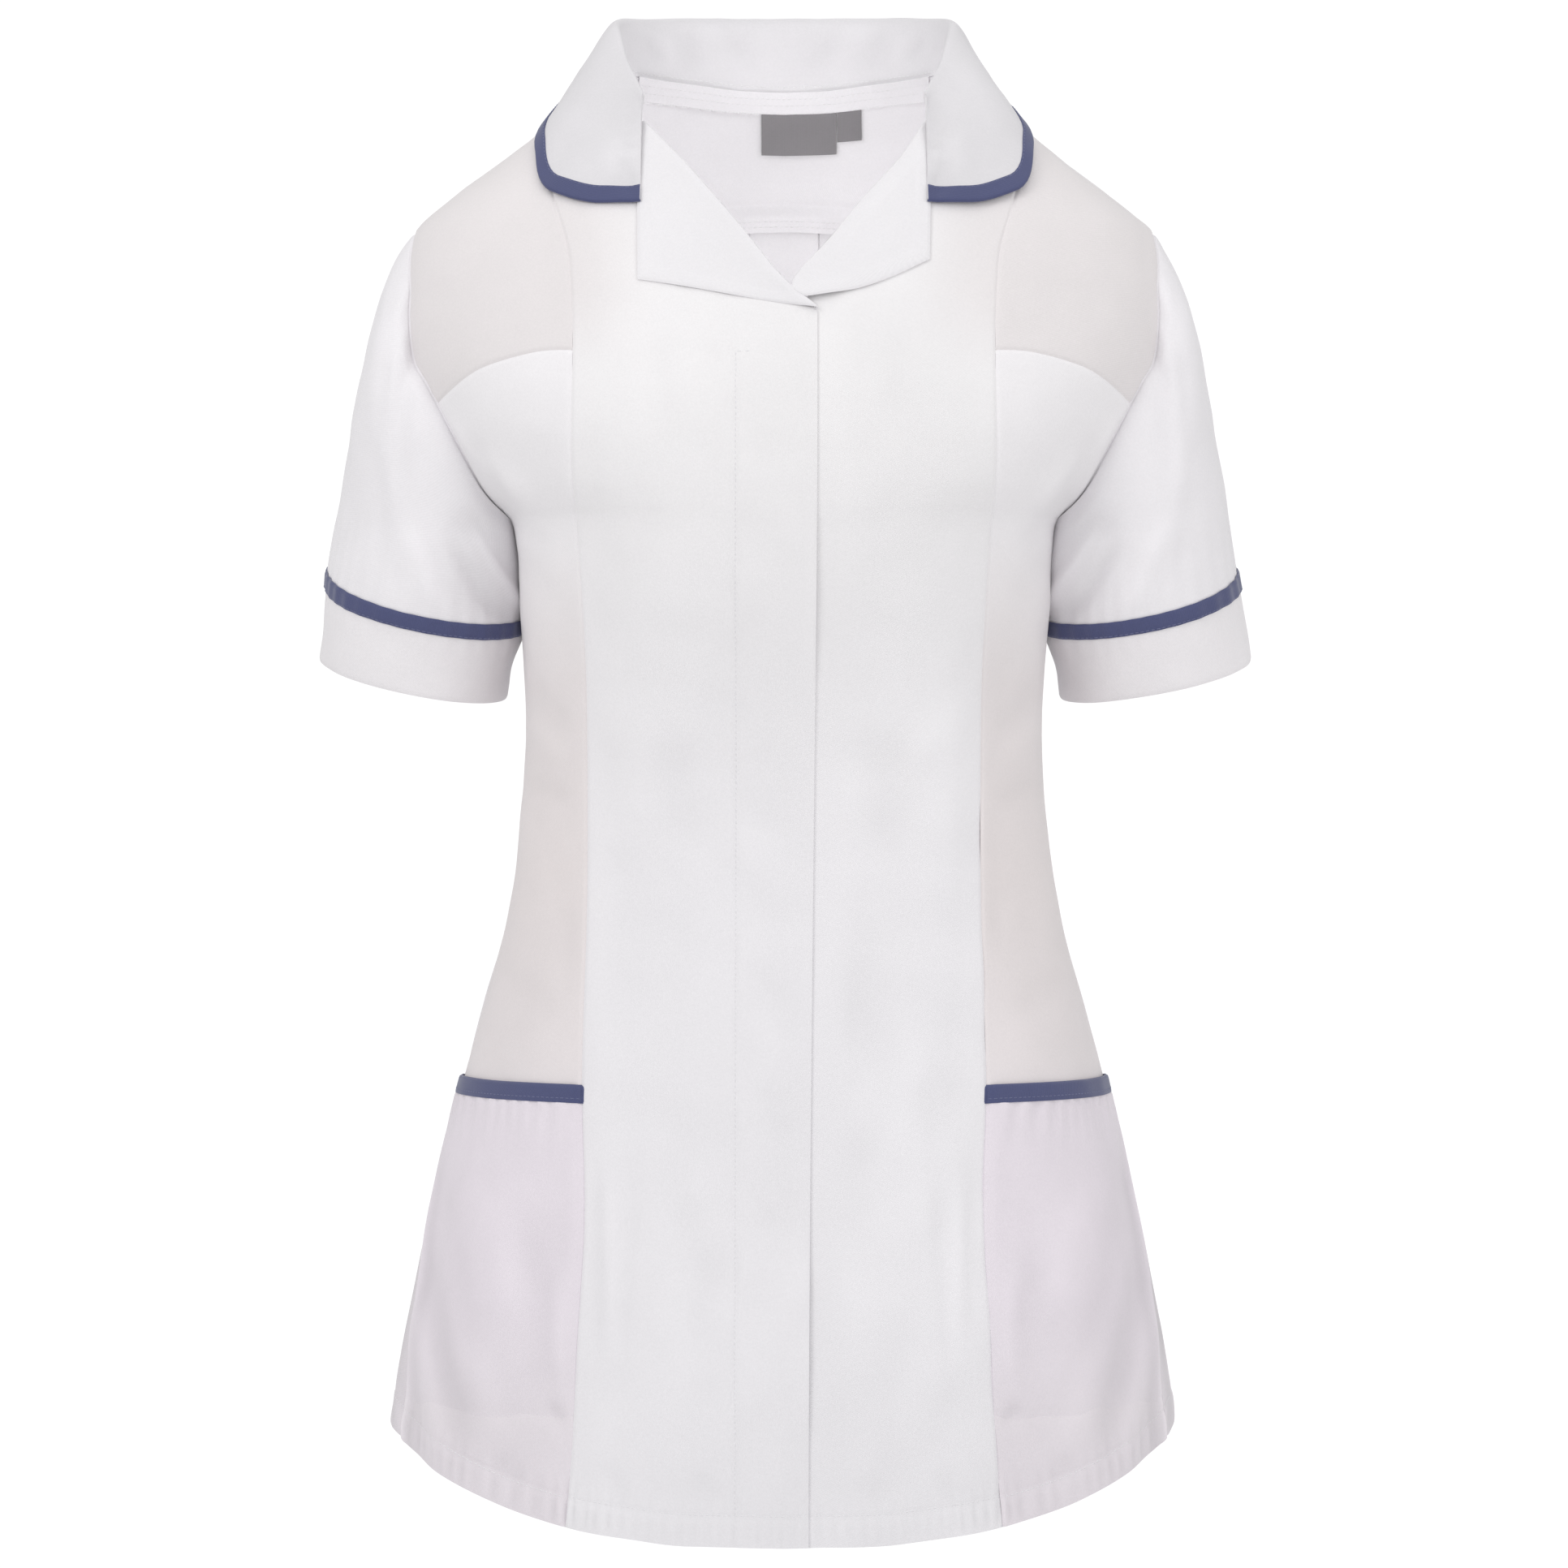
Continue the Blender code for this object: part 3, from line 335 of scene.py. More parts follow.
# Soft creases of the fronts: across, height, to across, to height, half width, depth outward
FRONT_CREASES = (
    (-0.060, -0.325, -0.050, -0.395, 0.014, -0.0011),
    (0.056, -0.322, 0.050, -0.400, 0.014, -0.0012),
    (-0.090, -0.300, -0.062, -0.345, 0.010, 0.0006),
    (0.092, -0.305, 0.066, -0.350, 0.010, 0.0006),
    (-0.022, -0.350, -0.002, -0.385, 0.008, -0.0005),
    (-0.020, -0.400, 0.004, -0.432, 0.008, -0.0006),
    (-0.018, -0.446, 0.002, -0.470, 0.007, -0.0005),
    (-0.014, -0.505, 0.006, -0.540, 0.008, -0.0006),
    (-0.020, -0.560, 0.000, -0.585, 0.007, -0.0005),
    (-0.018, -0.470, 0.000, -0.500, 0.008, 0.0004),
    (-0.022, -0.575, -0.002, -0.560, 0.008, 0.0004),
    (-0.055, -0.560, -0.036, -0.620, 0.010, -0.0007),
    (-0.030, -0.590, -0.052, -0.650, 0.009, -0.0006),
    (0.030, -0.440, 0.052, -0.505, 0.010, -0.0008),
    (0.044, -0.520, 0.034, -0.600, 0.011, -0.0008),
    (0.070, -0.470, 0.060, -0.560, 0.010, 0.0006),
    (-0.096, -0.540, -0.094, -0.660, 0.0032, -0.0011),
    (-0.0895, -0.555, -0.088, -0.650, 0.0040, 0.0008),
    (0.096, -0.545, 0.094, -0.650, 0.0032, -0.0010),
    (0.0895, -0.555, 0.088, -0.660, 0.0040, 0.0008),
    (-0.0140, -0.1105, -0.0215, -0.1200, 0.0010, -0.0006),
    (-0.062, -0.112, -0.058, -0.190, 0.008, -0.0006),
    (0.060, -0.110, 0.056, -0.180, 0.008, -0.0006),
    (-0.088, -0.700, -0.080, -0.728, 0.005, -0.0006),
    (0.080, -0.702, 0.086, -0.726, 0.005, -0.0006),
    (-0.050, -0.705, -0.030, -0.722, 0.006, -0.0005),
    (0.036, -0.706, 0.052, -0.722, 0.006, -0.0005),
)
# Soft creases of the side fronts: across, height, to across, to height, half width, depth outward
SIDE_CREASES = (
    (0.168, -0.170, 0.138, -0.222, 0.0060, -0.0018),
    (0.178, -0.160, 0.150, -0.200, 0.0035, 0.0010),
    (0.160, -0.178, 0.128, -0.212, 0.0050, 0.0009),
    (0.148, -0.205, 0.122, -0.232, 0.0050, -0.0009),
    (0.140, -0.228, 0.118, -0.262, 0.0070, -0.0008),
    (0.134, -0.300, 0.112, -0.330, 0.0060, -0.0008),
    (0.136, -0.318, 0.114, -0.345, 0.0050, 0.0007),
    (0.137, -0.352, 0.110, -0.366, 0.0060, -0.0009),
    (0.150, -0.450, 0.116, -0.478, 0.0080, -0.0007),
)
# Soft creases of the pockets and the panel below them
POCKET_CREASES = (
    (0.196, -0.620, 0.176, -0.720, 0.0065, 0.0022),
    (0.186, -0.600, 0.166, -0.712, 0.0070, -0.0022),
    (0.176, -0.560, 0.160, -0.660, 0.0080, -0.0010),
    (0.150, -0.560, 0.140, -0.640, 0.0110, 0.0013),
    (0.164, -0.640, 0.146, -0.700, 0.0080, 0.0012),
    (0.128, -0.590, 0.124, -0.672, 0.0090, -0.0011),
    (0.116, -0.600, 0.113, -0.676, 0.0045, 0.0007),
    (0.122, -0.672, 0.110, -0.684, 0.0040, -0.0014),
    (0.150, -0.700, 0.136, -0.716, 0.0060, -0.0010),
)
# Soft creases of the sleeves: share round, share along, to share round, to share along,
# half width, depth outward
SLEEVE_CREASES = (
    (0.30, 0.55, 0.42, 1.02, 0.0085, -0.0026),
    (0.36, 0.40, 0.47, 0.95, 0.0075, 0.0020),
    (0.22, 0.62, 0.30, 1.00, 0.0080, 0.0013),
    (0.16, 0.50, 0.20, 0.92, 0.0090, -0.0010),
    (0.40, 0.25, 0.30, 0.60, 0.0080, -0.0013),
    (0.08, 0.12, 0.13, 0.55, 0.0100, 0.0010),
    (0.93, 0.20, 0.88, 0.80, 0.0100, -0.0013),
    (0.82, 0.30, 0.74, 0.95, 0.0090, 0.0016),
    (0.70, 0.35, 0.62, 0.98, 0.0085, -0.0022),
    (0.60, 0.45, 0.55, 0.98, 0.0075, 0.0016),
)
# Soft creases of the back: across, height, to across, to height, half width, depth outward
BACK_CREASES = (
    (-0.090, -0.300, -0.030, -0.338, 0.010, -0.0016),
    (-0.100, -0.330, -0.040, -0.356, 0.008, 0.0012),
    (0.095, -0.296, 0.034, -0.330, 0.010, -0.0015),
    (0.104, -0.338, 0.030, -0.364, 0.009, -0.0013),
    (0.090, -0.316, 0.050, -0.340, 0.007, 0.0009),
    (-0.120, -0.372, -0.060, -0.386, 0.009, -0.0012),
    (0.118, -0.380, 0.070, -0.396, 0.008, 0.0010),
    (-0.150, -0.180, -0.105, -0.250, 0.010, -0.0016),
    (0.150, -0.176, 0.110, -0.240, 0.010, -0.0018),
    (-0.060, -0.110, -0.075, -0.230, 0.016, 0.0014),
    (0.066, -0.120, 0.078, -0.220, 0.015, 0.0013),
    (-0.100, -0.520, -0.120, -0.680, 0.016, -0.0020),
    (0.108, -0.500, 0.122, -0.670, 0.017, -0.0022),
    (-0.055, -0.480, -0.062, -0.700, 0.014, 0.0014),
    (0.060, -0.510, 0.072, -0.705, 0.013, 0.0015),
)

# Soft dents of the collar: across, length from the neck seam, to across, to length,
# half width, depth outward
COLLAR_CREASES = (
    (0.078, 0.060, 0.084, 0.085, 0.0075, -0.0016),
    (0.086, 0.050, 0.095, 0.075, 0.0060, 0.0012),
    (0.080, 0.048, 0.076, 0.072, 0.0035, 0.0008),
    (0.012, 0.010, 0.030, 0.030, 0.0060, -0.0010),
    (0.045, 0.008, 0.052, 0.034, 0.0055, -0.0012),
    (0.060, 0.006, 0.064, 0.030, 0.0040, 0.0009),
    (0.030, 0.034, 0.052, 0.028, 0.0050, 0.0008),
    (0.066, 0.010, 0.076, 0.026, 0.0035, -0.0010),
)

# Linear colours
WHITE = (0.815, 0.800, 0.822)
# Lighter copies of the white for the sleeves and cuffs, whose sides get less light: painted light
SLEEVE_LIT_WHITE = (0.835, 0.815, 0.840)
CUFF_LIT_WHITE = (0.830, 0.805, 0.825)
# Darker, warmer white of the shoulder panels, which turn away: painted shade with some tint
SHOULDER_SHADED_WHITE = (0.765, 0.730, 0.735)
# Darker copy of the white for the collar: painted shade
COLLAR_SHADED_WHITE = (0.715, 0.700, 0.722)
LAPEL_WHITE = (0.800, 0.785, 0.805)
# Cloths whose colour changes with height: height, colour. The front is painted lighter toward the top and
# darker toward the hem, as painted light and shade; the side panels, pockets and back have a lilac, warmer
# tint of their own and are painted darker lower down as painted shade
FRONT_LIGHT_AND_SHADE = (
    (-0.745, (0.780, 0.765, 0.790)),
    (-0.400, (0.815, 0.798, 0.822)),
    (-0.150, (0.840, 0.825, 0.835)),
)
SIDE_TINT_AND_SHADE = (
    (-0.700, (0.740, 0.695, 0.735)),
    (-0.560, (0.770, 0.725, 0.740)),
    (-0.400, (0.770, 0.718, 0.718)),
    (-0.300, (0.785, 0.740, 0.745)),
    (-0.220, (0.850, 0.832, 0.850)),
)
POCKET_TINT_AND_SHADE = (
    (-0.684, (0.740, 0.695, 0.735)),
    (-0.620, (0.762, 0.709, 0.762)),
    (-0.520, (0.766, 0.712, 0.766)),
)
BACK_TINT_AND_SHADE = (
    (-0.720, (0.745, 0.700, 0.742)),
    (-0.500, (0.775, 0.735, 0.760)),
    (-0.300, (0.800, 0.775, 0.795)),
    (-0.080, WHITE),
)
THREAD_WHITE = (0.82, 0.81, 0.83)
BLUE = (0.064, 0.074, 0.172)
BLUE_THREAD = (0.115, 0.128, 0.255)
GREY = (0.205, 0.195, 0.205)
PALE_FLOOR = (0.86, 0.86, 0.86)
# Twill: pitch of its ribs, height over which its colour ramps (part tint, part painted light and shade),
# how strongly folds are painted (painted shade in troughs, painted highlight on ridges) and how far that
# painted fold shading may go
TWILL_PITCH = 0.0010
TONE_DEPTH = 0.76
FOLD_SHADING_RATE = 38.0
FOLD_SHADING_LIMIT = 0.0017


def read(rows, at, column=1):
    """A smooth value from a table whose first column rises or falls, with no overshoot."""
    data = np.array(rows, float)
    if data[0, 0] > data[-1, 0]:
        data = data[::-1]
    places = data[:, 0]
    values = data[:, column]
    gaps = np.diff(places)
    steep = np.diff(values) / gaps
    before = steep[:-1]
    after = steep[1:]
    turns = before * after <= 0
    middle = np.where(turns, 0.0, 2 * before * after / np.where(turns, 1.0, before + after))
    slope = np.concatenate([steep[:1], middle, steep[-1:]])
    at = np.clip(at, places[0], places[-1])
    low = np.clip(np.searchsorted(places, at, side="right") - 1, 0, len(places) - 2)
    gap = gaps[low]
    t = (at - places[low]) / gap
    return (
        values[low] * (1 + 2 * t) * (1 - t) ** 2
        + slope[low] * gap * t * (1 - t) ** 2
        + values[low + 1] * t * t * (3 - 2 * t)
        + slope[low + 1] * gap * t * t * (t - 1)
    )


def ease(value):
    value = np.clip(value, 0.0, 1.0)
    return value * value * (3 - 2 * value)


def bell(distance, width):
    return np.exp(-((distance / width) ** 2))


def ripple(along, pitch, sway, turns, start=0.0):
    """Ribs a pitch apart along a length, swaying so that no two are alike."""
    return np.sin(along * 2 * np.pi / pitch + sway * np.sin(along * turns + start))


def fold_height(angle, height):
    """How far the large folds move the cloth out."""
    out = 0.0
    for middle, half, top, bottom, depth in FOLDS:
        away = (angle - middle + 180) % 360 - 180
        across = np.where(abs(away) < half, 0.5 + 0.5 * np.cos(np.pi * away / half), 0.0)
        out = out + depth * across * ease((top - height) / 0.09) * ease((height - bottom) / 0.07)
    return out


def body(angle, height):
    """Points on the outside of the garment's body, at angles and heights."""
    turn = np.radians(angle)
    depth = np.where(np.cos(turn) > 0, read(BODY, height, 2), read(BODY, height, 3))
    along = abs(np.cos(turn)) / depth
    across = abs(np.sin(turn)) / read(BODY, height, 1)
    reach = (along ** SQUARENESS + across ** SQUARENESS) ** (-1 / SQUARENESS)
    reach = reach + fold_height(angle, height)
    height = height + np.zeros_like(reach)
    return np.stack([reach * np.sin(turn), -reach * np.cos(turn), height], -1)


def unit(vectors):
    return vectors / np.linalg.norm(vectors, axis=-1, keepdims=True)


def facing(angle, height):
    """The outward direction of the body."""
    around = body(angle + 0.5, height) - body(angle - 0.5, height)
    up = body(angle, height + 0.002) - body(angle, height - 0.002)
    return unit(np.cross(around, up))


def moved(angle, height, out):
    return body(angle, height) + facing(angle, height) * np.asarray(out)[..., None]


def angle_at(across, height, behind=False):
    """The angle whose place on the body lies that far from the middle."""
    share = np.minimum(abs(across) / read(BODY, height, 1), 1.0)
    along = read(BODY, height, 3 if behind else 2) * (1 - share ** SQUARENESS) ** (1 / SQUARENESS)
    turn = np.degrees(np.arctan2(abs(across), along))
    return np.copysign(180 - turn if behind else turn, across)


def hem_height(angle):
    height = read(HEM, abs(body(angle, HEM_SIDE)[..., 0]))
    behind = HEM_SIDE + (height - HEM_SIDE) * HEM_BACK_SHARE
    return np.where(np.cos(np.radians(angle)) < 0, behind, height)


def spline(points, steps=8):
    """A smooth line through places given as pairs."""
    points = np.array(points, float)
    line = []
    for i in range(len(points) - 1):
        a, b, c, d = points[max(i - 1, 0)], points[i], points[i + 1], points[min(i + 2, len(points) - 1)]
        for k in range(steps):
            t = k / steps
            bend = (2 * a - 5 * b + 4 * c - d) * t * t + (3 * b - a - 3 * c + d) * t ** 3
            line.append(0.5 * (2 * b + (c - a) * t + bend))
    line.append(points[-1])
    return np.array(line)


def seam_line(rows, side, behind=False):
    """Angles and heights along a seam given by heights and distances across."""
    places = [(h, read(BODY, h, 1) if across is None else across) for h, across in rows]
    height, across = spline(places).T
    angle = angle_at(across * side, height, behind)
    if rows[0][1] is None:
        angle[0] = 90.0 * side
    if rows[-1][1] is None:
        angle[-1] = 90.0 * side
    return np.stack([angle, height], -1)


def princess_line(side, top, bottom):
    height = np.linspace(top, bottom, 61)
    across = np.minimum(read(PRINCESS, height), read(BODY, height, 1))
    angle = angle_at(across * side, height)
    if top == PRINCESS_TOP:
        angle[0] = 90.0 * side
    return np.stack([angle, height], -1)


def shoulder_line(side, start, end):
    height = np.linspace(start, end, 13)
    return np.stack([np.full(13, 90.0 * side), height], -1)


def neck_line(side, start, end):
    turn = np.linspace(start, end, 33)
    flat = np.where(turn <= 180, turn, 360 - turn)
    return np.stack([turn * side, read(NECK, flat)], -1)


def roll_line(rows):
    height, across = spline(rows, 10).T
    return np.stack([angle_at(across, height), height], -1)


def side_angle(height):
    ahead = read(SIDE_SEAM, height)
    share = ahead / read(BODY, height, 2)
    across = read(BODY, height, 1) * (1 - share ** SQUARENESS) ** (1 / SQUARENESS)
    return np.degrees(np.arctan2(across, ahead))


def side_line(side, top, bottom):
    height = np.linspace(top, bottom, 41)
    return np.stack([side_angle(height) * side, height], -1)


def hem_line(start, end):
    turn = np.linspace(start, end, 81)
    return np.stack([turn, hem_height(turn)], -1)


def meet_hem(angle_of):
    """The height at which a line down the body reaches the hem."""
    height = HEM_SIDE
    for _ in range(6):
        height = float(hem_height(angle_of(height)))
    return height


class Edge:
    """A line on the body that is read by the share of its length."""

    def __init__(self, *lines):
        self.parts = [Edge(line) for line in lines] if len(lines) > 1 else []
        places = np.concatenate(lines)
        fresh = np.any(np.diff(places, axis=0) != 0, axis=1)
        self.places = places[np.concatenate([[True], fresh])]
        points = body(self.places[:, 0], self.places[:, 1])
        steps = np.linalg.norm(np.diff(points, axis=0), axis=1)
        self.lengths = np.concatenate([[0.0], np.cumsum(steps)])
        self.knots = None

    def paced(self, *counts):
        """Read the line so that even steps divide each of its parts evenly."""
        knots = [0.0]
        begun = 0.0
        for part, count in zip(self.parts, counts):
            knots.extend(begun + part.lengths[-1] * k / count for k in range(1, count + 1))
            begun += part.lengths[-1]
        self.knots = np.array(knots) / begun
        return self

    def by_length(self, share):
        target = np.asarray(share) * self.lengths[-1]
        return np.stack([np.interp(target, self.lengths, self.places[:, k]) for k in (0, 1)], -1)

    def at(self, share):
        if self.knots is not None:
            share = np.interp(share, np.linspace(0, 1, len(self.knots)), self.knots)
        return self.by_length(share)


class Patch:
    """A piece of the body between four edges. The holds say how soon an edge's bends fade."""

    def __init__(self, left, right, top, bottom, top_hold=1.5, bottom_hold=1.5, side_hold=1.0):
        self.edges = (left, right, top, bottom)
        self.holds = (top_hold, bottom_hold, side_hold)

    def points(self, across, down):
        """Points on the body at shares across and down."""
        spots = self.at(across, down)
        return body(spots[..., 0], spots[..., 1])

    def at(self, across, down):
        """Angles and heights at shares across and down: rows of columns of pairs."""
        left, right, top, bottom = self.edges
        u = np.asarray(across)[None, :, None]
        v = np.asarray(down)[:, None, None]
        left_line = left.at(0.0) + (left.at(1.0) - left.at(0.0)) * v
        right_line = right.at(0.0) + (right.at(1.0) - right.at(0.0)) * v
        place = left_line * (1 - u) + right_line * u
        place = place + (left.at(down)[:, None] - left_line) * (1 - u) ** self.holds[2]
        place = place + (right.at(down)[:, None] - right_line) * u ** self.holds[2]
        flat = top.at(0.0) * (1 - u) + top.at(1.0) * u
        place = place + (top.at(across)[None] - flat) * (1 - v) ** self.holds[0]
        flat = bottom.at(0.0) * (1 - u) + bottom.at(1.0) * u
        return place + (bottom.at(across)[None] - flat) * v ** self.holds[1]


def shares(length, step, start=(), end=()):
    """Shares of a length about a step apart, with given distances kept near its two ends."""
    first = start[-1] if len(start) else 0.0
    last = end[-1] if len(end) else 0.0
    count = max(2, round((length - first - last) / step))
    places = list(start[:-1]) + list(np.linspace(first, length - last, count + 1))
    places += [length - place for place in reversed(end[:-1])]
    if len(start) == 0 or places[0] > 0:
        places[0] = 0.0
    return np.array(places) / length


SEAM_STEPS = (0.0, 0.0005, 0.0011, 0.0018, 0.0028, 0.0042)
# Seam allowances: how far they reach past the seam, how deep they lie under the next piece
ALLOWANCE = ((0.00005, 0.0003), (0.00035, 0.0008), (0.0032, 0.0012))
HEM_STEPS = (0.0, 0.0004, 0.0012, 0.0030, 0.0060, 0.0090, 0.0120, 0.0142, 0.0152, 0.0158, 0.0168, 0.0190)


class Cloth:
    """Rows and columns of cloth points, moved out from the smooth form and then meshed."""

    def __init__(self, points, closed=False):
        self.points = points
        self.closed = closed
        if closed:
            along = np.roll(points, -1, 1) - np.roll(points, 1, 1)
        else:
            along = np.gradient(points, axis=1)
        self.normals = unit(np.cross(np.gradient(points, axis=0), along))
        self.out = np.zeros(points.shape[:2])
        # Painted fold shading: troughs painted darker, ridges lighter
        self.tone = np.zeros(points.shape[:2])
        # Light and shade painted on directly: painted highlights along seam edges, painted shade beside
        # them and at the hips
        self.accent = np.zeros(points.shape[:2])
        # Share of the shoulder's darker white: painted shade with some tint
        self.shoulder_tint_and_shade = np.zeros(points.shape[:2])
        across = np.linalg.norm(np.diff(points, axis=1), axis=2)
        down = np.linalg.norm(np.diff(points, axis=0), axis=2)
        self.left = np.concatenate([np.zeros((len(points), 1)), np.cumsum(across, 1)], 1)
        self.right = self.left[:, -1:] - self.left
        self.top = np.concatenate([np.zeros((1, points.shape[1])), np.cumsum(down, 0)], 0)
        self.bottom = self.top[-1:] - self.top
        self.width = float(self.left[:, -1].max())
        self.length = float(self.top[-1].max())
        if closed:
            last = np.linalg.norm(points[:, 0] - points[:, -1], axis=1)
            self.width = float((self.left[:, -1] + last).max())

    def sides(self):
        """How far each point is from the nearer side."""
        return np.minimum(self.left, self.right)

    def seams(self, left=False, right=False, top=False, bottom=False):
        """Draw the cloth down into its seams."""
        distances = (self.left, self.right, self.top, self.bottom)
        for wanted, distance in zip((left, right, top, bottom), distances):
            if wanted:
                self.out -= SEAM_DIP * bell(distance, SEAM_ROLL)
                self.out += 0.00018 * ease(distance / 0.002) * (1 - ease((distance - 0.008) / 0.003))
        return self

    def uneven(self, size, depth, seed, rise=1.0, share=1.0):
        """Gentle unevenness of about that size and depth. A rise below 1 draws it out upward."""
        scale = np.array([1.0, 1.0, rise]) / size
        spots = (self.points * scale + seed * 7.31).reshape(-1, 3)
        found = np.array([noise.noise(spot) for spot in spots.tolist()])
        moves = found.reshape(self.out.shape) * depth * share
        self.out += moves
        # Hollows are painted a little darker and rises lighter: painted shade and highlight
        self.tone += moves * 0.4
        return self

    def creases(self, place, rows, share=1.0):
        """Soft troughs and ridges from a table of lines on the cloth."""
        for x0, z0, x1, z1, half, depth in rows:
            start = np.array([x0, z0])
            run = np.array([x1 - x0, z1 - z0])
            t = ((place - start) @ run) / (run @ run)
            away = np.linalg.norm(place - start - np.clip(t, 0, 1)[..., None] * run, axis=-1)
            fade = ease((t + 0.05) / 0.4) * ease((1.05 - t) / 0.4)
            moves = depth * bell(away, half) * fade * share
            self.out += moves
            # Troughs are painted darker and ridges lighter: painted shade and highlight
            self.tone += moves
        return self

    def hem(self, ribs):
        """A turned hem: a thicker band, drawn in at its stitches, with ribs where it curves."""
        band = 1 - ease((self.bottom - HEM_DEPTH) / 0.0012)
        self.out += HEM_THICK * band
        self.out -= HEM_DRAWN_IN * bell(self.bottom - HEM_DEPTH, 0.0011)
        wave = ripple(self.left, HEM_RIB_PITCH, 2.2, 61.0)
        high = np.where(
            self.bottom < HEM_DEPTH,
            np.sin(np.pi * np.clip(self.bottom / HEM_DEPTH, 0, 1)) ** 0.7,
            0.45 * bell(self.bottom - HEM_DEPTH - 0.003, 0.005),
        )
        moves = HEM_RIB * wave * high * ribs
        self.out += moves
        # The ribs are painted darker in their troughs and lighter on their crests, and a painted shade line
        # runs along the hem's stitches
        self.tone += moves * 2.4
        self.tone -= 0.0005 * bell(self.bottom - HEM_DEPTH, 0.0014)
        return self

    def surface(self):
        return self.points + self.normals * self.out[..., None]

    def extend(self, added, axis, at_end):
        """Add finished rows or columns of points beyond an edge."""
        grid = self.surface()
        self.points = np.concatenate([grid, added] if at_end else [added, grid], axis)
        pad = [(0, 0), (0, 0)]
        pad[axis] = (0, added.shape[axis]) if at_end else (added.shape[axis], 0)
        self.out = np.zeros(self.points.shape[:2])
        for name in ("left", "right", "top", "bottom", "tone", "accent", "shoulder_tint_and_shade"):
            setattr(self, name, np.pad(getattr(self, name), pad, "edge"))
        self.normals = np.pad(self.normals, pad + [(0, 0)], "edge")

    def allowance(self, edge, share=1.0, reach=1.0):
        """Turn a narrow seam allowance in under the next piece."""
        axis = 0 if edge in ("top", "bottom") else 1
        at_end = edge in ("bottom", "right")
        grid = self.surface()
        rim = np.take(grid, -1 if at_end else 0, axis)
        normal = np.take(self.normals, -1 if at_end else 0, axis)
        away = rim - np.take(grid, -4 if at_end else 3, axis)
        away = unit(away - normal * (away * normal).sum(-1, keepdims=True))
        share = np.broadcast_to(share, len(rim))[:, None]
        lines = [rim + (away * far * reach - normal * deep) * share for far, deep in ALLOWANCE]
        self.extend(np.stack(lines if at_end else lines[::-1], axis), axis, at_end)
        return self


def cloth_mesh(name, grid, weave, shoulder_tint_and_shade, closed):
    """A mesh of quads from rows of points, with cloth coordinates for its weave, whose third value is the
    painted fold shading, and the share of the shoulder's painted shade.
    """
    rows, columns = grid.shape[:2]
    index = np.arange(rows * columns).reshape(rows, columns)
    if closed:
        index = np.concatenate([index, index[:, :1]], 1)
    corners = (index[:-1, :-1], index[1:, :-1], index[1:, 1:], index[:-1, 1:])
    faces = np.stack(corners, -1).reshape(-1, 4)
    mesh = bpy.data.meshes.new(name)
    mesh.from_pydata(grid.reshape(-1, 3).tolist(), [], faces.tolist())
    mesh.update()
    mesh.polygons.foreach_set("use_smooth", np.ones(len(faces), bool))
    spots = mesh.attributes.new("cloth", "FLOAT_VECTOR", "POINT")
    spots.data.foreach_set("vector", weave.reshape(-1).astype(np.float32))
    shoulder_layer = mesh.attributes.new("shoulder_tint_and_shade", "FLOAT", "POINT")
    shoulder_layer.data.foreach_set("value", shoulder_tint_and_shade.reshape(-1).astype(np.float32))
    return mesh


def piece(name, mesh, material, solid):
    """A piece of the garment. One that has a solid replaces the solid of its own name."""
    made = bpy.data.objects.new(name, mesh)
    bpy.context.scene.collection.objects.link(made)
    mesh.materials.append(material)
    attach(made, "root")
    if solid:
        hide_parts(name)
    return made


def crisp_edges():
    """Nodes that keep the cut edges of a thickened cloth from shading round."""
    group = bpy.data.node_groups.new("crisp edges", "GeometryNodeTree")
    group.interface.new_socket("Geometry", in_out="INPUT", socket_type="NodeSocketGeometry")
    group.interface.new_socket("Geometry", in_out="OUTPUT", socket_type="NodeSocketGeometry")
    begin = group.nodes.new("NodeGroupInput")
    end = group.nodes.new("NodeGroupOutput")
    angle = group.nodes.new("GeometryNodeInputMeshEdgeAngle")
    sharp = group.nodes.new("FunctionNodeCompare")
    sharp.operation = "GREATER_THAN"
    sharp.inputs[1].default_value = math.radians(48)
    shade = group.nodes.new("GeometryNodeSetShadeSmooth")
    shade.domain = "EDGE"
    shade.inputs["Shade Smooth"].default_value = False
    group.links.new(angle.outputs["Unsigned Angle"], sharp.inputs[0])
    group.links.new(sharp.outputs[0], shade.inputs["Selection"])
    group.links.new(begin.outputs[0], shade.inputs[0])
    group.links.new(shade.outputs[0], end.inputs[0])
    return group


CRISP = crisp_edges()


def thicken(made, wall, offset):
    """Give a sheet its wall. An offset of -1 puts it inward and 0 puts it half each way."""
    thick = made.modifiers.new("cloth thickness", "SOLIDIFY")
    thick.thickness = wall
    thick.offset = offset
    thick.use_even_offset = True
    thick.use_rim = True
    made.modifiers.new("crisp edges", "NODES").node_group = CRISP


FINDERS = {}


